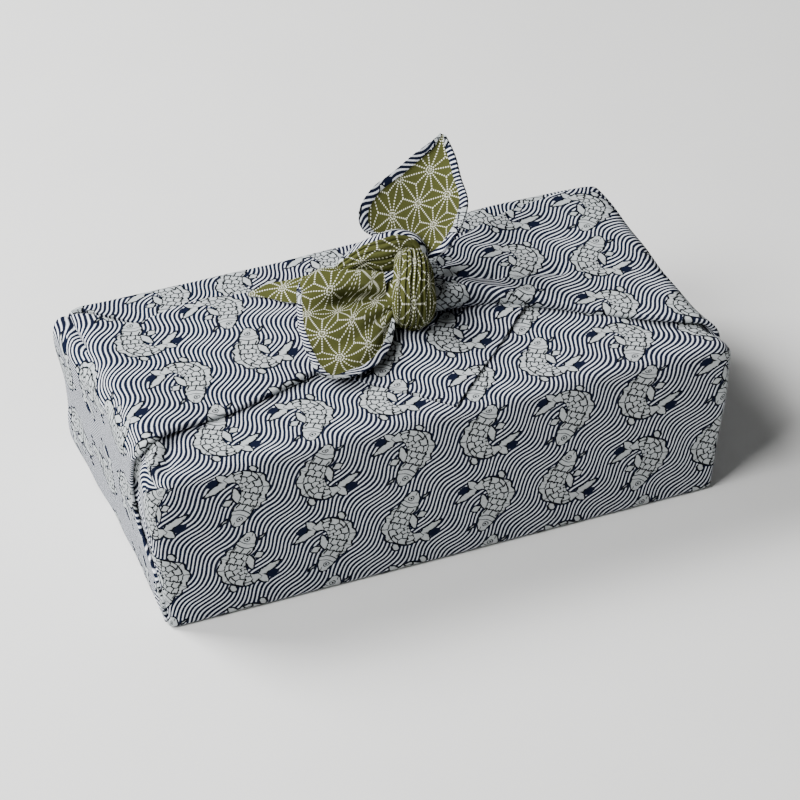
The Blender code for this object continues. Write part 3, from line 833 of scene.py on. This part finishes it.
def build_lower_tail():
    """The front tail, from a net of points that a smooth surface passes through."""
    net = np.array(LOWER_TAIL, dtype=float) * MM
    across, last = net.shape[1], net.shape[1] - 1
    lines = smooth_rows(net.reshape(len(net), -1), LOWER_ROWS)
    lines = lines.reshape(-1, across, 3).transpose(1, 0, 2)
    fine = smooth_rows(lines.reshape(across, -1), LOWER_FINE + 1)
    fine = fine.reshape(LOWER_FINE + 1, -1, 3)
    hem_from = last - LOWER_HEM
    at = np.concatenate([np.linspace(0, hem_from, LOWER_COLUMNS),
                         np.linspace(hem_from, last, HEM_FACES + 1)[1:]])
    grid = fine[np.round(at / last * LOWER_FINE).astype(int)].transpose(1, 0, 2)
    ends = np.sin(np.linspace(0.0, math.pi, LOWER_ROWS)) ** 2
    crease = np.exp(-((at - CREASE_AT) / CREASE_WIDTH) ** 2)
    pucker = PUCKER * np.sin(at * PUCKER_PITCH + PUCKER_START)
    fade = np.linspace(1, 0, LOWER_ROWS)
    sink = CREASE_DEPTH * crease[None, :] * ends[:, None] + pucker[None, :] * fade[:, None]
    grid = grid - grid_normals(grid) * sink[..., None]
    lengths = np.linalg.norm(np.diff(grid, axis=0), axis=2)
    from_left = np.zeros(grid.shape[:2])
    from_left[:-1] = np.cumsum(lengths[::-1], axis=0)[::-1]
    widths = np.linalg.norm(np.diff(grid, axis=1), axis=2)
    from_front = np.zeros(grid.shape[:2])
    from_front[:, :-1] = np.cumsum(widths[:, ::-1], axis=1)[:, ::-1]
    flat = np.stack([from_left + from_front, from_left - from_front], axis=-1) / math.sqrt(2)
    flat[..., 0] -= CORNER
    marked = np.zeros((grid.shape[0] - 1, grid.shape[1] - 1), bool)
    marked[:, -HEM_FACES:] = marked[-END_FACES:, :] = True
    extra = np.zeros(grid.shape[:2])
    extra[:, -HEM_FACES - 1:] = extra[-END_FACES - 1:, :] = HEM_EXTRA
    return sheet("lower_tail", on_top(grid), flat, TAIL_CLOTH, outer_up=False, hem=marked,
                 extra=extra)


pieces.append(build_lower_tail())
pieces.append(build_tail("back_sliver", BACK_SLIVER, BACK_SLIVER_FACES, -1.0, SLIVER_GRID,
                         False, False))
print("front tail and sliver, faces:", [len(piece.data.polygons) for piece in pieces[-2:]])

# %% [markdown]
# ## Shader maths in plain Python
#
# Both faces of the real cloth are woven figures. Image textures could hold them, but formulas
# stay sharp at any size, so their shaders have many Math nodes. The class `Wire` wraps one
# socket and gives it Python's operators: an expression on wires adds the nodes. Every other
# node comes from `Finish.add`, which takes the node's type, its settings and the values of
# its sockets.

# %% Wires
class Wire:
    """A socket of a material's nodes; Python's operators on it add Math nodes."""

    def __init__(self, finish, socket):
        self.finish, self.socket = finish, socket

    def math(self, operation, *others, clamp=False):
        values = dict(enumerate((self, *others)))
        settings = {"operation": operation, "use_clamp": clamp}
        return self.finish.add("ShaderNodeMath", settings, values)

    def __add__(self, other):
        return self.math("ADD", other)

    def __sub__(self, other):
        return self.math("SUBTRACT", other)

    def __rsub__(self, other):
        return (self * -1.0) + other

    def __mul__(self, other):
        return self.math("MULTIPLY", other)

    __radd__, __rmul__ = __add__, __mul__

    def __abs__(self):
        return self.math("ABSOLUTE")

    def __lt__(self, other):
        return self.math("LESS_THAN", other)

    def least(self, other):
        return self.math("MINIMUM", other)

    def most(self, other):
        return self.math("MAXIMUM", other)

    def nearest(self):
        return self.math("ROUND")

    def below(self):
        return self.math("FLOOR")

    def part(self):
        return self.math("FRACT")

    def sine(self):
        return self.math("SINE")

    def root(self):
        return self.math("SQRT")


print("a wire's own words:", [word for word in vars(Wire) if not word.startswith("_")])


# %% Finishes
class Finish:
    """A material while its nodes are being added."""

    def __init__(self, name, roughness):
        self.material = bpy.data.materials.new(name)
        self.material.use_nodes = True
        self.tree = self.material.node_tree
        self.shader = self.tree.nodes["Principled BSDF"]
        self.shader.inputs["Roughness"].default_value = roughness
        self.shader.inputs["Specular IOR Level"].default_value = 0.0

    def add(self, kind, settings=(), values=(), output=0):
        """One node: its settings first, then the values or wires of its sockets."""
        node = self.tree.nodes.new(kind)
        for key, value in dict(settings).items():
            if key == "stops":
                self.fill_ramp(node.color_ramp, value)
            else:
                setattr(node, key, value)
        for key, value in dict(values).items():
            if isinstance(value, Wire):
                self.tree.links.new(value.socket, node.inputs[key])
            else:
                node.inputs[key].default_value = value
        return Wire(self, node.outputs[output])

    @staticmethod
    def fill_ramp(ramp, stops):
        while len(ramp.elements) < len(stops):
            ramp.elements.new(0.5)
        for element, (position, red, green) in zip(ramp.elements, stops):
            element.position = position
            element.color = (red, green, 0.0, 1.0)

    def flat_cloth(self):
        """Where the shaded point lies on the flat cloth, in mm: along and up."""
        places = self.add("ShaderNodeUVMap", {"uv_map": UV_NAME})
        split = {"Vector": places}
        return (self.add("ShaderNodeSeparateXYZ", (), split, "X") * (1 / MM),
                self.add("ShaderNodeSeparateXYZ", (), split, "Y") * (1 / MM))

    def noise(self, x, y, scale_x, scale_y, detail=2.0):
        """Noise at a place of the flat cloth, stretched by its two scales."""
        place = self.add("ShaderNodeCombineXYZ", (), {"X": x * scale_x, "Y": y * scale_y})
        return self.add("ShaderNodeTexNoise", {"noise_dimensions": "2D"},
                        {"Vector": place, "Scale": 1.0, "Detail": detail}, "Fac")

    def blend(self, share, first, second, way="MIX"):
        """A colour between two, which may be wires or plain colours."""
        values = {"Factor": share, 6: first, 7: second}
        return self.add("ShaderNodeMix", {"data_type": "RGBA", "blend_type": way}, values, 2)

    def wear(self, colour, height, distance):
        """The colour onto the shader, and the height through a Bump node."""
        self.tree.links.new(colour.socket, self.shader.inputs["Base Color"])
        bump = self.add("ShaderNodeBump", (), {"Height": height, "Distance": distance,
                                               "Strength": 1.0})
        self.tree.links.new(bump.socket, self.shader.inputs["Normal"])


EDGE_BLUR = 0.30        # mm over which a printed edge goes from one colour to the next


def within(distance, blur=EDGE_BLUR):
    """1 where a distance is below zero, 0 where it is above, blurred between."""
    return (distance * (-1.0 / blur) + 0.5).math("ADD", 0.0, clamp=True)


def line_on(distance, half_width):
    return within(abs(distance) - half_width)


def linear(*values):
    """A colour given as it looks, 0 to 255, as the shader wants it."""
    parts = [value / 255 for value in values]
    parts = [p / 12.92 if p <= 0.04045 else ((p + 0.055) / 1.055) ** 2.4 for p in parts]
    return (*parts, 1.0)


print("helpers ready; mid grey is", round(linear(128, 128, 128)[0], 4))

# %% [markdown]
# ## The carp
#
# The carp is an ordinary motif of such cloths, drawn here from scratch. Its body is straight
# at the head and then bends round a circle, so it is drawn in coordinates that do the same:
# `along` runs from the snout to the tail and `off` is how far a place lies out of the bend.
# A ramp holds its width on the outer and the inner side, the scales are a staggered grid,
# and every fin is a lens-shaped leaf. Each form is a distance, below zero inside, so forms
# join with a minimum, and an outline is where the distance is nearly zero.

# %% Sizes of a carp
BEND_X, BEND_Y, BEND_RADIUS = 3.5, -4.5, 8.2        # where the body bends, mm
HEAD_ANGLE = math.radians(60)                       # where the head points
STRAIGHT = 20.3                                     # from the snout to the bend
BODY_LENGTH, BODY_WIDEST = 43.0, 10.0
BODY_WIDTHS = (
    # share of the length, outer and inner half width
    (0.00, 0.06, 0.06), (0.03, 0.22, 0.24), (0.09, 0.33, 0.42), (0.17, 0.43, 0.52),
    (0.24, 0.47, 0.53), (0.30, 0.48, 0.50), (0.40, 0.46, 0.54), (0.52, 0.43, 0.66),
    (0.66, 0.40, 0.72), (0.78, 0.42, 0.62), (0.86, 0.38, 0.42), (0.93, 0.30, 0.25),
    (1.00, 0.22, 0.17),
)
WOBBLE, WOBBLE_PITCH = 1.3, 0.45                    # an unsteady hand, and its waves per mm
BACK_FIN_FROM, BACK_FIN_TO, SPINE_STEP = 11.75, 30.5, 4.7
FIN_HEIGHT, SPINE_HEIGHT, RAY_SHIFT = 2.1, 1.7, 2.2
SCALE_LENGTH, SCALE_WIDTH, SCALLOP = 3.6, 3.9, 0.22
SCALES_FROM, SCALES_TO, SCALES_IN = 10.4, 39.0, 6.4     # where the scales end
GILL_AT, CHEEK_AT, GILL_BOW = 10.0, 7.4, 0.06       # along the body
EYE_AT, EYE_OFF, EYE_RING, PUPIL = 4.7, 0.6, 1.45, 0.65
MOUTH_OFF, MOUTH_LONG = 0.9, 2.6
OUTLINE, SCALE_LINE, GILL_LINE, CHEEK_LINE = 0.36, 0.38, 0.36, 0.22     # half widths of ink
EYE_LINE, FINE_LINE, SEAM_LINE, RAY_LINE, FIN_LINE = 0.26, 0.2, 0.30, 0.16, 0.32
CARP_GAP = 0.80         # plain navy left round a carp
TAIL_TOP, TAIL_LOW = (13.2, -8.6, 27, 7.6, 2.1), (10.6, -13.9, -52, 4.0, 2.2)
NEAR_FIN = (4.5, -1.6, 96, 5.0, 2.1)
BLUE_PATCH = (15.2, -12.4, 24, 4.4, 2.2)
LEAVES = (
    # x, y, angle from +X in degrees, half length, half width
    (8.9, 1.7, 18, 2.8, 1.8),           # far breast fin
    (-5.1, -16.2, 118, 2.9, 1.8),       # belly fin
    (11.2, 13.0, 35, 2.6, 0.5),         # whisker
)
print("leaves of a carp:", len(LEAVES) + 3)


# %% Draw a carp
def leaf(x, y, row):
    """Distance to a lens-shaped leaf, below zero inside."""
    at_x, at_y, angle, long, wide = row
    c, s = math.cos(math.radians(angle)), math.sin(math.radians(angle))
    run = (x - at_x) * c + (y - at_y) * s
    side = (y - at_y) * c - (x - at_x) * s
    return abs(side) - (1.0 - run * run * (1 / long ** 2)) * wide


def carp(finish, x, y):
    """Three masks from the place relative to a carp: its whole form, its ink, and its gap."""
    wobble = (finish.noise(x, y, WOBBLE_PITCH, WOBBLE_PITCH) - 0.5) * WOBBLE
    x, y = x + wobble, y - wobble
    c, s = math.cos(HEAD_ANGLE), math.sin(HEAD_ANGLE)
    rel_x, rel_y = x - BEND_X, y - BEND_Y
    ahead, outward = rel_x * c + rel_y * s, rel_y * c - rel_x * s
    behind = ahead.least(0.0)
    off = (outward * outward + behind * behind).root() - BEND_RADIUS
    round_bend = (behind * -1.0).math("ARCTAN2", outward)
    along = round_bend * BEND_RADIUS + STRAIGHT - ahead.most(0.0)
    other_side = ahead.least(outward * -1.0)
    ramp = finish.add("ShaderNodeValToRGB", {"stops": BODY_WIDTHS},
                      {"Fac": along * (1 / BODY_LENGTH)})
    outer = finish.add("ShaderNodeSeparateColor", (), {"Color": ramp}, "Red") * BODY_WIDEST
    inner = finish.add("ShaderNodeSeparateColor", (), {"Color": ramp}, "Green") * BODY_WIDEST
    inside_bend = (inner * -1.0 - off).most(other_side)
    body = (off - outer).most(inside_bend).most(along - BODY_LENGTH).most(0.0 - along)
    on_fin = (along - BACK_FIN_FROM) * (1 / (BACK_FIN_TO - BACK_FIN_FROM))
    spine = abs(((along - BACK_FIN_FROM) * (math.pi / SPINE_STEP)).sine())
    rise = (on_fin * math.pi).sine().most(0.0).root() * (spine * SPINE_HEIGHT + FIN_HEIGHT)
    back_fin = (off - outer - rise).most(inside_bend).most(BACK_FIN_FROM - along)
    back_fin = back_fin.most(along - BACK_FIN_TO)
    tail = leaf(x, y, TAIL_TOP).least(leaf(x, y, TAIL_LOW))
    near_fin = leaf(x, y, NEAR_FIN)
    form = body.least(back_fin).least(tail).least(near_fin)
    for row in LEAVES:
        form = form.least(leaf(x, y, row))

    scallop = abs((off * (math.pi / SCALE_WIDTH)).sine()) * SCALLOP
    rank = (along - SCALES_FROM) * (1 / SCALE_LENGTH) + scallop
    stagger = off * (1 / SCALE_WIDTH) + (rank.below() * 0.5).part()
    to_rank = abs((rank + 0.5).part() - 0.5) * SCALE_LENGTH
    to_file = abs((stagger + 0.5).part() - 0.5) * SCALE_WIDTH
    scaled = within(body) * within(SCALES_FROM - along) * within(along - SCALES_TO)
    scaled = scaled * within(-SCALES_IN - off)
    bare = within(0.0 - near_fin)
    scales = line_on(to_rank.least(to_file), SCALE_LINE) * scaled * bare
    bow = off * off * GILL_BOW
    gills = line_on(along - GILL_AT + bow, GILL_LINE)
    gills = gills.most(line_on(along - CHEEK_AT + bow, CHEEK_LINE)) * within(body) * bare
    mouth = line_on(off + MOUTH_OFF, FINE_LINE) * within(along - MOUTH_LONG) * within(body)
    eye_x, eye_y = along - EYE_AT, off - EYE_OFF
    to_eye = (eye_x * eye_x + eye_y * eye_y).root()
    eye = line_on(to_eye - EYE_RING, EYE_LINE).most(within(to_eye - PUPIL)).most(mouth)
    seam = line_on(off - outer, SEAM_LINE) * within(back_fin)
    rays = (((along + RAY_SHIFT) * (1 / SPINE_STEP)).part() - 0.5) * SPINE_STEP
    rays = line_on(rays, RAY_LINE) * within(back_fin) * within(outer - off)
    ink = line_on(form, OUTLINE).most(scales).most(gills).most(eye).most(seam).most(rays)
    ink = ink.most(line_on(near_fin, FIN_LINE)).most(line_on(body, FINE_LINE) * within(tail))
    return within(form), ink, within((form - CARP_GAP).least(leaf(x, y, BLUE_PATCH)))


print("a carp's body, mm:", BODY_LENGTH)

# %% [markdown]
# ## The outer face
#
# Stripes climb to the right and sway as they go: their phase is a slanting plane plus one
# sine whose wave length is that of the carp's repeat. The carp stand in a staggered
# repeat, every second one upside down. A wave texture gives stripes too, but they wouldn't
# keep step with the carp. The thread's own relief comes from fine noise, stretched along
# the warp and the weft, and from the white floats standing a little proud.

# %% Sizes of the outer face
REPEAT = 42.7           # half of the carp's repeat along the cloth, mm
SECOND_CARP = (47.3, -2.7)
STRIPES_ALONG, STRIPES_UP = 28 / (2 * REPEAT), 3 / REPEAT - 28 / (2 * REPEAT)
SWAY = 0.98             # how far the stripes sway, in stripes
SWAY_AT = 25.0          # where they are steepest, mm from a carp along and up
WANDER, WANDER_PITCH = 0.9, 0.045       # a slow drift of the stripes, and its waves per mm
WHITE_SHARE = 0.34
RAGGED, STRIPE_BLUR = 0.22, 0.16        # of a stripe: how ragged and how soft its edge is
NAVY = linear(20, 25, 43)
WAVE_WHITE = linear(236, 240, 247)
CARP_GREY = linear(183, 188, 190)
INK = linear(13, 15, 20)
CLOTH_ROUGHNESS = 0.95
THREAD, THREAD_SLIM = 0.42, 0.35        # mm between threads; their grain's breadth over length
GAP_LIGHT, THREAD_LIGHT = 0.62, 0.7     # brightness between threads, and what it gains on them
THREAD_PROUD, FLOAT_PROUD, WAVE_RELIEF = 0.6, 0.5, 0.00012     # shares of the relief, metres
print("stripes, mm apart:", round(1 / math.hypot(STRIPES_ALONG, STRIPES_UP), 2))


# %% Weave the outer face
def from_nearest(x, y, at_x, at_y):
    """Place relative to the nearest point of the carp's staggered repeat."""
    x, y = x - at_x, y - at_y
    rising, falling = (x + y) * (0.5 / REPEAT), (x - y) * (0.5 / REPEAT)
    rising, falling = rising - rising.nearest(), falling - falling.nearest()
    return (rising + falling) * REPEAT, (rising - falling) * REPEAT


def threads(finish, x, y):
    """Fine relief of the weave, about 0 to 1."""
    fine, long = 1 / THREAD, THREAD_SLIM / THREAD
    warp, weft = finish.noise(x, y, fine, long, 1.0), finish.noise(x, y, long, fine, 1.0)
    return warp * 0.5 + weft * 0.5


def outer_face():
    finish = Finish("waves_and_carp", CLOTH_ROUGHNESS)
    x, y = finish.flat_cloth()
    carp_x, carp_y = CARP_AT
    one_x, one_y = from_nearest(x, y, carp_x, carp_y)
    two_x, two_y = from_nearest(x, y, carp_x + SECOND_CARP[0], carp_y + SECOND_CARP[1])
    one_is_near = (one_x * one_x + one_y * one_y) < (two_x * two_x + two_y * two_y)
    near_x = one_x * one_is_near - two_x * (1.0 - one_is_near)
    near_y = one_y * one_is_near - two_y * (1.0 - one_is_near)
    form, ink, gap = carp(finish, near_x, near_y)

    slow = finish.noise(x, y, WANDER_PITCH, WANDER_PITCH)
    sway = ((x + y) - (carp_x + carp_y + SWAY_AT)) * (2 * math.pi / REPEAT)
    phase = x * STRIPES_ALONG + y * STRIPES_UP + sway.sine() * SWAY + slow * WANDER
    to_white = abs(phase.part() - 0.5) - WHITE_SHARE / 2
    weave = threads(finish, x, y)
    white = within(to_white + (weave - 0.5) * RAGGED, STRIPE_BLUR) * (1.0 - gap)

    colour = finish.blend(white, NAVY, WAVE_WHITE)
    colour = finish.blend(form, colour, CARP_GREY)
    colour = finish.blend(ink, colour, INK)
    shade = weave * THREAD_LIGHT + GAP_LIGHT
    grey = finish.add("ShaderNodeCombineColor", (), {0: shade, 1: shade, 2: shade})
    colour = finish.blend(1.0, colour, grey, "MULTIPLY")
    height = weave * THREAD_PROUD + white * FLOAT_PROUD + form * (1.0 - ink) * FLOAT_PROUD
    finish.wear(colour, height, WAVE_RELIEF)
    return finish.material


finishes = [outer_face()]
print("nodes in the outer face:", len(finishes[0].node_tree.nodes))

# %% [markdown]
# ## The inner face
#
# The hemp leaf, asanoha, is a grid of triangles whose corners are also joined to each
# triangle's middle. So it has two kinds of dotted line: the triangles' sides, drawn all
# along, and their heights, drawn only from a corner to the middle. The real dots are short
# floats of the white thread, so they stand a little proud.

# %% Sizes of the inner face
STAR = 18.2             # mm between neighbouring stars
TALL = STAR * math.sqrt(3) / 2          # height of a triangle
DOT_STEP, DOT_RADIUS, DOT_BLUR = STAR / 13, 0.36, 0.3
STAR_MIDDLE = 1.5       # the dots shrink within this of a star's middle, where twelve rows meet
DOT_SHRINKS = 0.25      # by this much for each mm nearer to it
OLIVE, OLIVE_DARK = linear(83, 86, 46), linear(52, 54, 29)
DOT_WHITE = linear(240, 240, 222)
THREAD_SHARE, FADE_PITCH = 0.7, 0.03    # of the olive's change; the rest is slow, waves per mm
DOT_PROUD, DOT_RELIEF = 0.7, 0.00015
print("a triangle of the hemp leaf is, mm:", STAR, "by", round(TALL, 1))


# %% Weave the inner face
def dotted(line, along):
    """Distance to the dots of a line, from the distance to it and the place along it."""
    step = ((along * (1 / DOT_STEP)).part() - 0.5) * DOT_STEP
    return (line * line + step * step).root() - DOT_RADIUS


def from_star(x, y):
    """Distance to the nearest star's middle: the stars stand on two crossed grids."""
    reach = []
    for shift in (0.5, 1.0):
        across = ((x * (1 / STAR) + shift).part() - 0.5) * STAR
        up = ((y * (0.5 / TALL) + shift).part() - 0.5) * (2 * TALL)
        reach.append((across * across + up * up).root())
    return reach[0].least(reach[1])


def hemp_lines(x, y, degrees):
    """Distance to the dots of the sides and heights that run one way."""
    c, s = math.cos(math.radians(degrees)), math.sin(math.radians(degrees))
    run, side = x * c + y * s, y * c - x * s
    to_side = abs((side * (1 / TALL) + 0.5).part() - 0.5) * TALL
    sides = dotted(to_side, run)
    rank = (run * (2 / STAR)).nearest()
    to_height = abs(run - rank * (STAR / 2))
    on_height = (side - rank * TALL) * (0.5 / TALL)
    from_corner = abs((on_height + 0.5).part() - 0.5) * (2 * TALL)
    heights = dotted(to_height, side).most(from_corner - TALL * 2 / 3)
    return sides.least(heights)


def inner_face():
    finish = Finish("hemp_leaves", CLOTH_ROUGHNESS)
    x, y = finish.flat_cloth()
    nearest = hemp_lines(x, y, 0)
    for degrees in (60, 120):
        nearest = nearest.least(hemp_lines(x, y, degrees))
    weave = threads(finish, x, y)
    slow = finish.noise(x, y, FADE_PITCH, FADE_PITCH)
    change = weave * THREAD_SHARE + slow * (1 - THREAD_SHARE)
    ground = finish.blend(change, OLIVE_DARK, OLIVE)
    crowded = (STAR_MIDDLE - from_star(x, y)).most(0.0)
    dots = within(nearest + crowded * DOT_SHRINKS, DOT_BLUR)
    colour = finish.blend(dots, ground, DOT_WHITE)
    finish.wear(colour, weave * THREAD_PROUD + dots * DOT_PROUD, DOT_RELIEF)
    return finish.material


finishes.append(inner_face())
print("nodes in the inner face:", len(finishes[1].node_tree.nodes))

# %% [markdown]
# ## One cloth
#
# The wrap is one square of cloth, so its sheets are joined into one piece rather than kept
# as many.

# %% Join the sheets
SHARP_FROM = math.radians(50)       # the rim of a layer stays crisp


def join(parts, name):
    bpy.ops.object.select_all(action="DESELECT")
    for part in parts:
        for finish in finishes:
            part.data.materials.append(finish)
        part.select_set(True)
    bpy.context.view_layer.objects.active = parts[0]
    bpy.ops.object.join()
    whole = bpy.context.view_layer.objects.active
    whole.name = whole.data.name = name
    whole.data.set_sharp_from_angle(angle=SHARP_FROM)
    return whole


cloth = join(pieces, "wrapping_cloth")
triangles = sum(len(face.vertices) - 2 for face in cloth.data.polygons)
print("triangles in the cloth:", triangles)

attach(cloth, "root")
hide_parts("furoshiki_cloth")

# %% [markdown]
# ## Floor, light and camera
#
# The wrap stands on a plain pale floor in the soft light of two windows. The one behind on
# the left makes the top bright and throws the shadow to the right, the weaker one at the
# front left softens it and keeps the front readable, and a faint sky fills in. One big lamp
# would be simpler, but its single shadow would be too dark or too wide.

# %% Floor
FLOOR_SIZE, FLOOR_ROUGHNESS = 8.0, 0.9
FLOOR_GREY, FLOOR_DARK = linear(242, 242, 240), linear(234, 234, 232)
MOTTLE_SCALE, MOTTLE_DETAIL, MOTTLE_RELIEF = 9.0, 6.0, 0.0002


def build_floor():
    finish = Finish("pale_floor", FLOOR_ROUGHNESS)
    place = finish.add("ShaderNodeTexCoord", (), (), "Object")
    mottle = finish.add("ShaderNodeTexNoise", (), {"Vector": place, "Scale": MOTTLE_SCALE,
                                                   "Detail": MOTTLE_DETAIL}, "Fac")
    finish.wear(finish.blend(mottle, FLOOR_DARK, FLOOR_GREY), mottle, MOTTLE_RELIEF)
    mesh = bpy.data.meshes.new("floor")
    half = FLOOR_SIZE / 2
    corners = [(-half, -half, 0), (half, -half, 0), (half, half, 0), (-half, half, 0)]
    mesh.from_pydata(corners, [], [(0, 1, 2, 3)])
    mesh.materials.append(finish.material)
    floor = bpy.data.objects.new("floor", mesh)
    bpy.context.scene.collection.objects.link(floor)
    return floor


print("floor, m:", [round(v, 1) for v in build_floor().dimensions])

# %% Two windows and the sky
WINDOWS = (
    # name, place, side of the lamp, watts
    ("back_window", (-1.06, 0.86, 1.38), 0.85, 68.0),
    ("side_window", (-1.35, -0.45, 1.45), 0.9, 45.0),
)
LIT_PLACE = Vector((0.0, 0.0, 0.05))
SKY_STRENGTH = 0.12


def add_window(name, place, size, watts):
    data = bpy.data.lights.new(name, "AREA")
    data.shape, data.size, data.energy = "SQUARE", size, watts
    lamp = bpy.data.objects.new(name, data)
    bpy.context.scene.collection.objects.link(lamp)
    lamp.location = place
    lamp.rotation_mode = "QUATERNION"
    lamp.rotation_quaternion = (LIT_PLACE - Vector(place)).to_track_quat("-Z", "Y")


for window in WINDOWS:
    add_window(*window)
world = bpy.data.worlds.new("pale_sky")
world.use_nodes = True
sky = world.node_tree.nodes["Background"]
sky.inputs["Color"].default_value = (1.0, 1.0, 1.0, 1.0)
sky.inputs["Strength"].default_value = SKY_STRENGTH
bpy.context.scene.world = world

# %% Camera
CAMERA_TURN, CAMERA_RISE, CAMERA_ROLL = -19.72, 37.42, -1.38    # degrees
CAMERA_TARGET = Vector((0.02268, 0.05130, 0.0))
CAMERA_AWAY, CAMERA_LENS, SENSOR = 1.4157, 115.51, 36.0


def build_camera():
    turn, rise, roll = (math.radians(v) for v in (CAMERA_TURN, CAMERA_RISE, CAMERA_ROLL))
    back = Vector((math.sin(turn) * math.cos(rise), -math.cos(turn) * math.cos(rise),
                   math.sin(rise)))
    right = Vector((math.cos(turn), math.sin(turn), 0.0))
    up = back.cross(right)
    tilted_right = right * math.cos(roll) + up * math.sin(roll)
    tilted_up = up * math.cos(roll) - right * math.sin(roll)
    data = bpy.data.cameras.new("camera")
    data.lens, data.sensor_width = CAMERA_LENS, SENSOR
    camera = bpy.data.objects.new("camera", data)
    bpy.context.scene.collection.objects.link(camera)
    matrix = Matrix((tilted_right, tilted_up, back)).transposed().to_4x4()
    matrix.translation = CAMERA_TARGET + back * CAMERA_AWAY
    camera.matrix_world = matrix
    bpy.context.scene.camera = camera
    return camera


print("camera stands at", [round(v, 3) for v in build_camera().matrix_world.translation])

# %% Update the scene
bpy.context.view_layer.update()
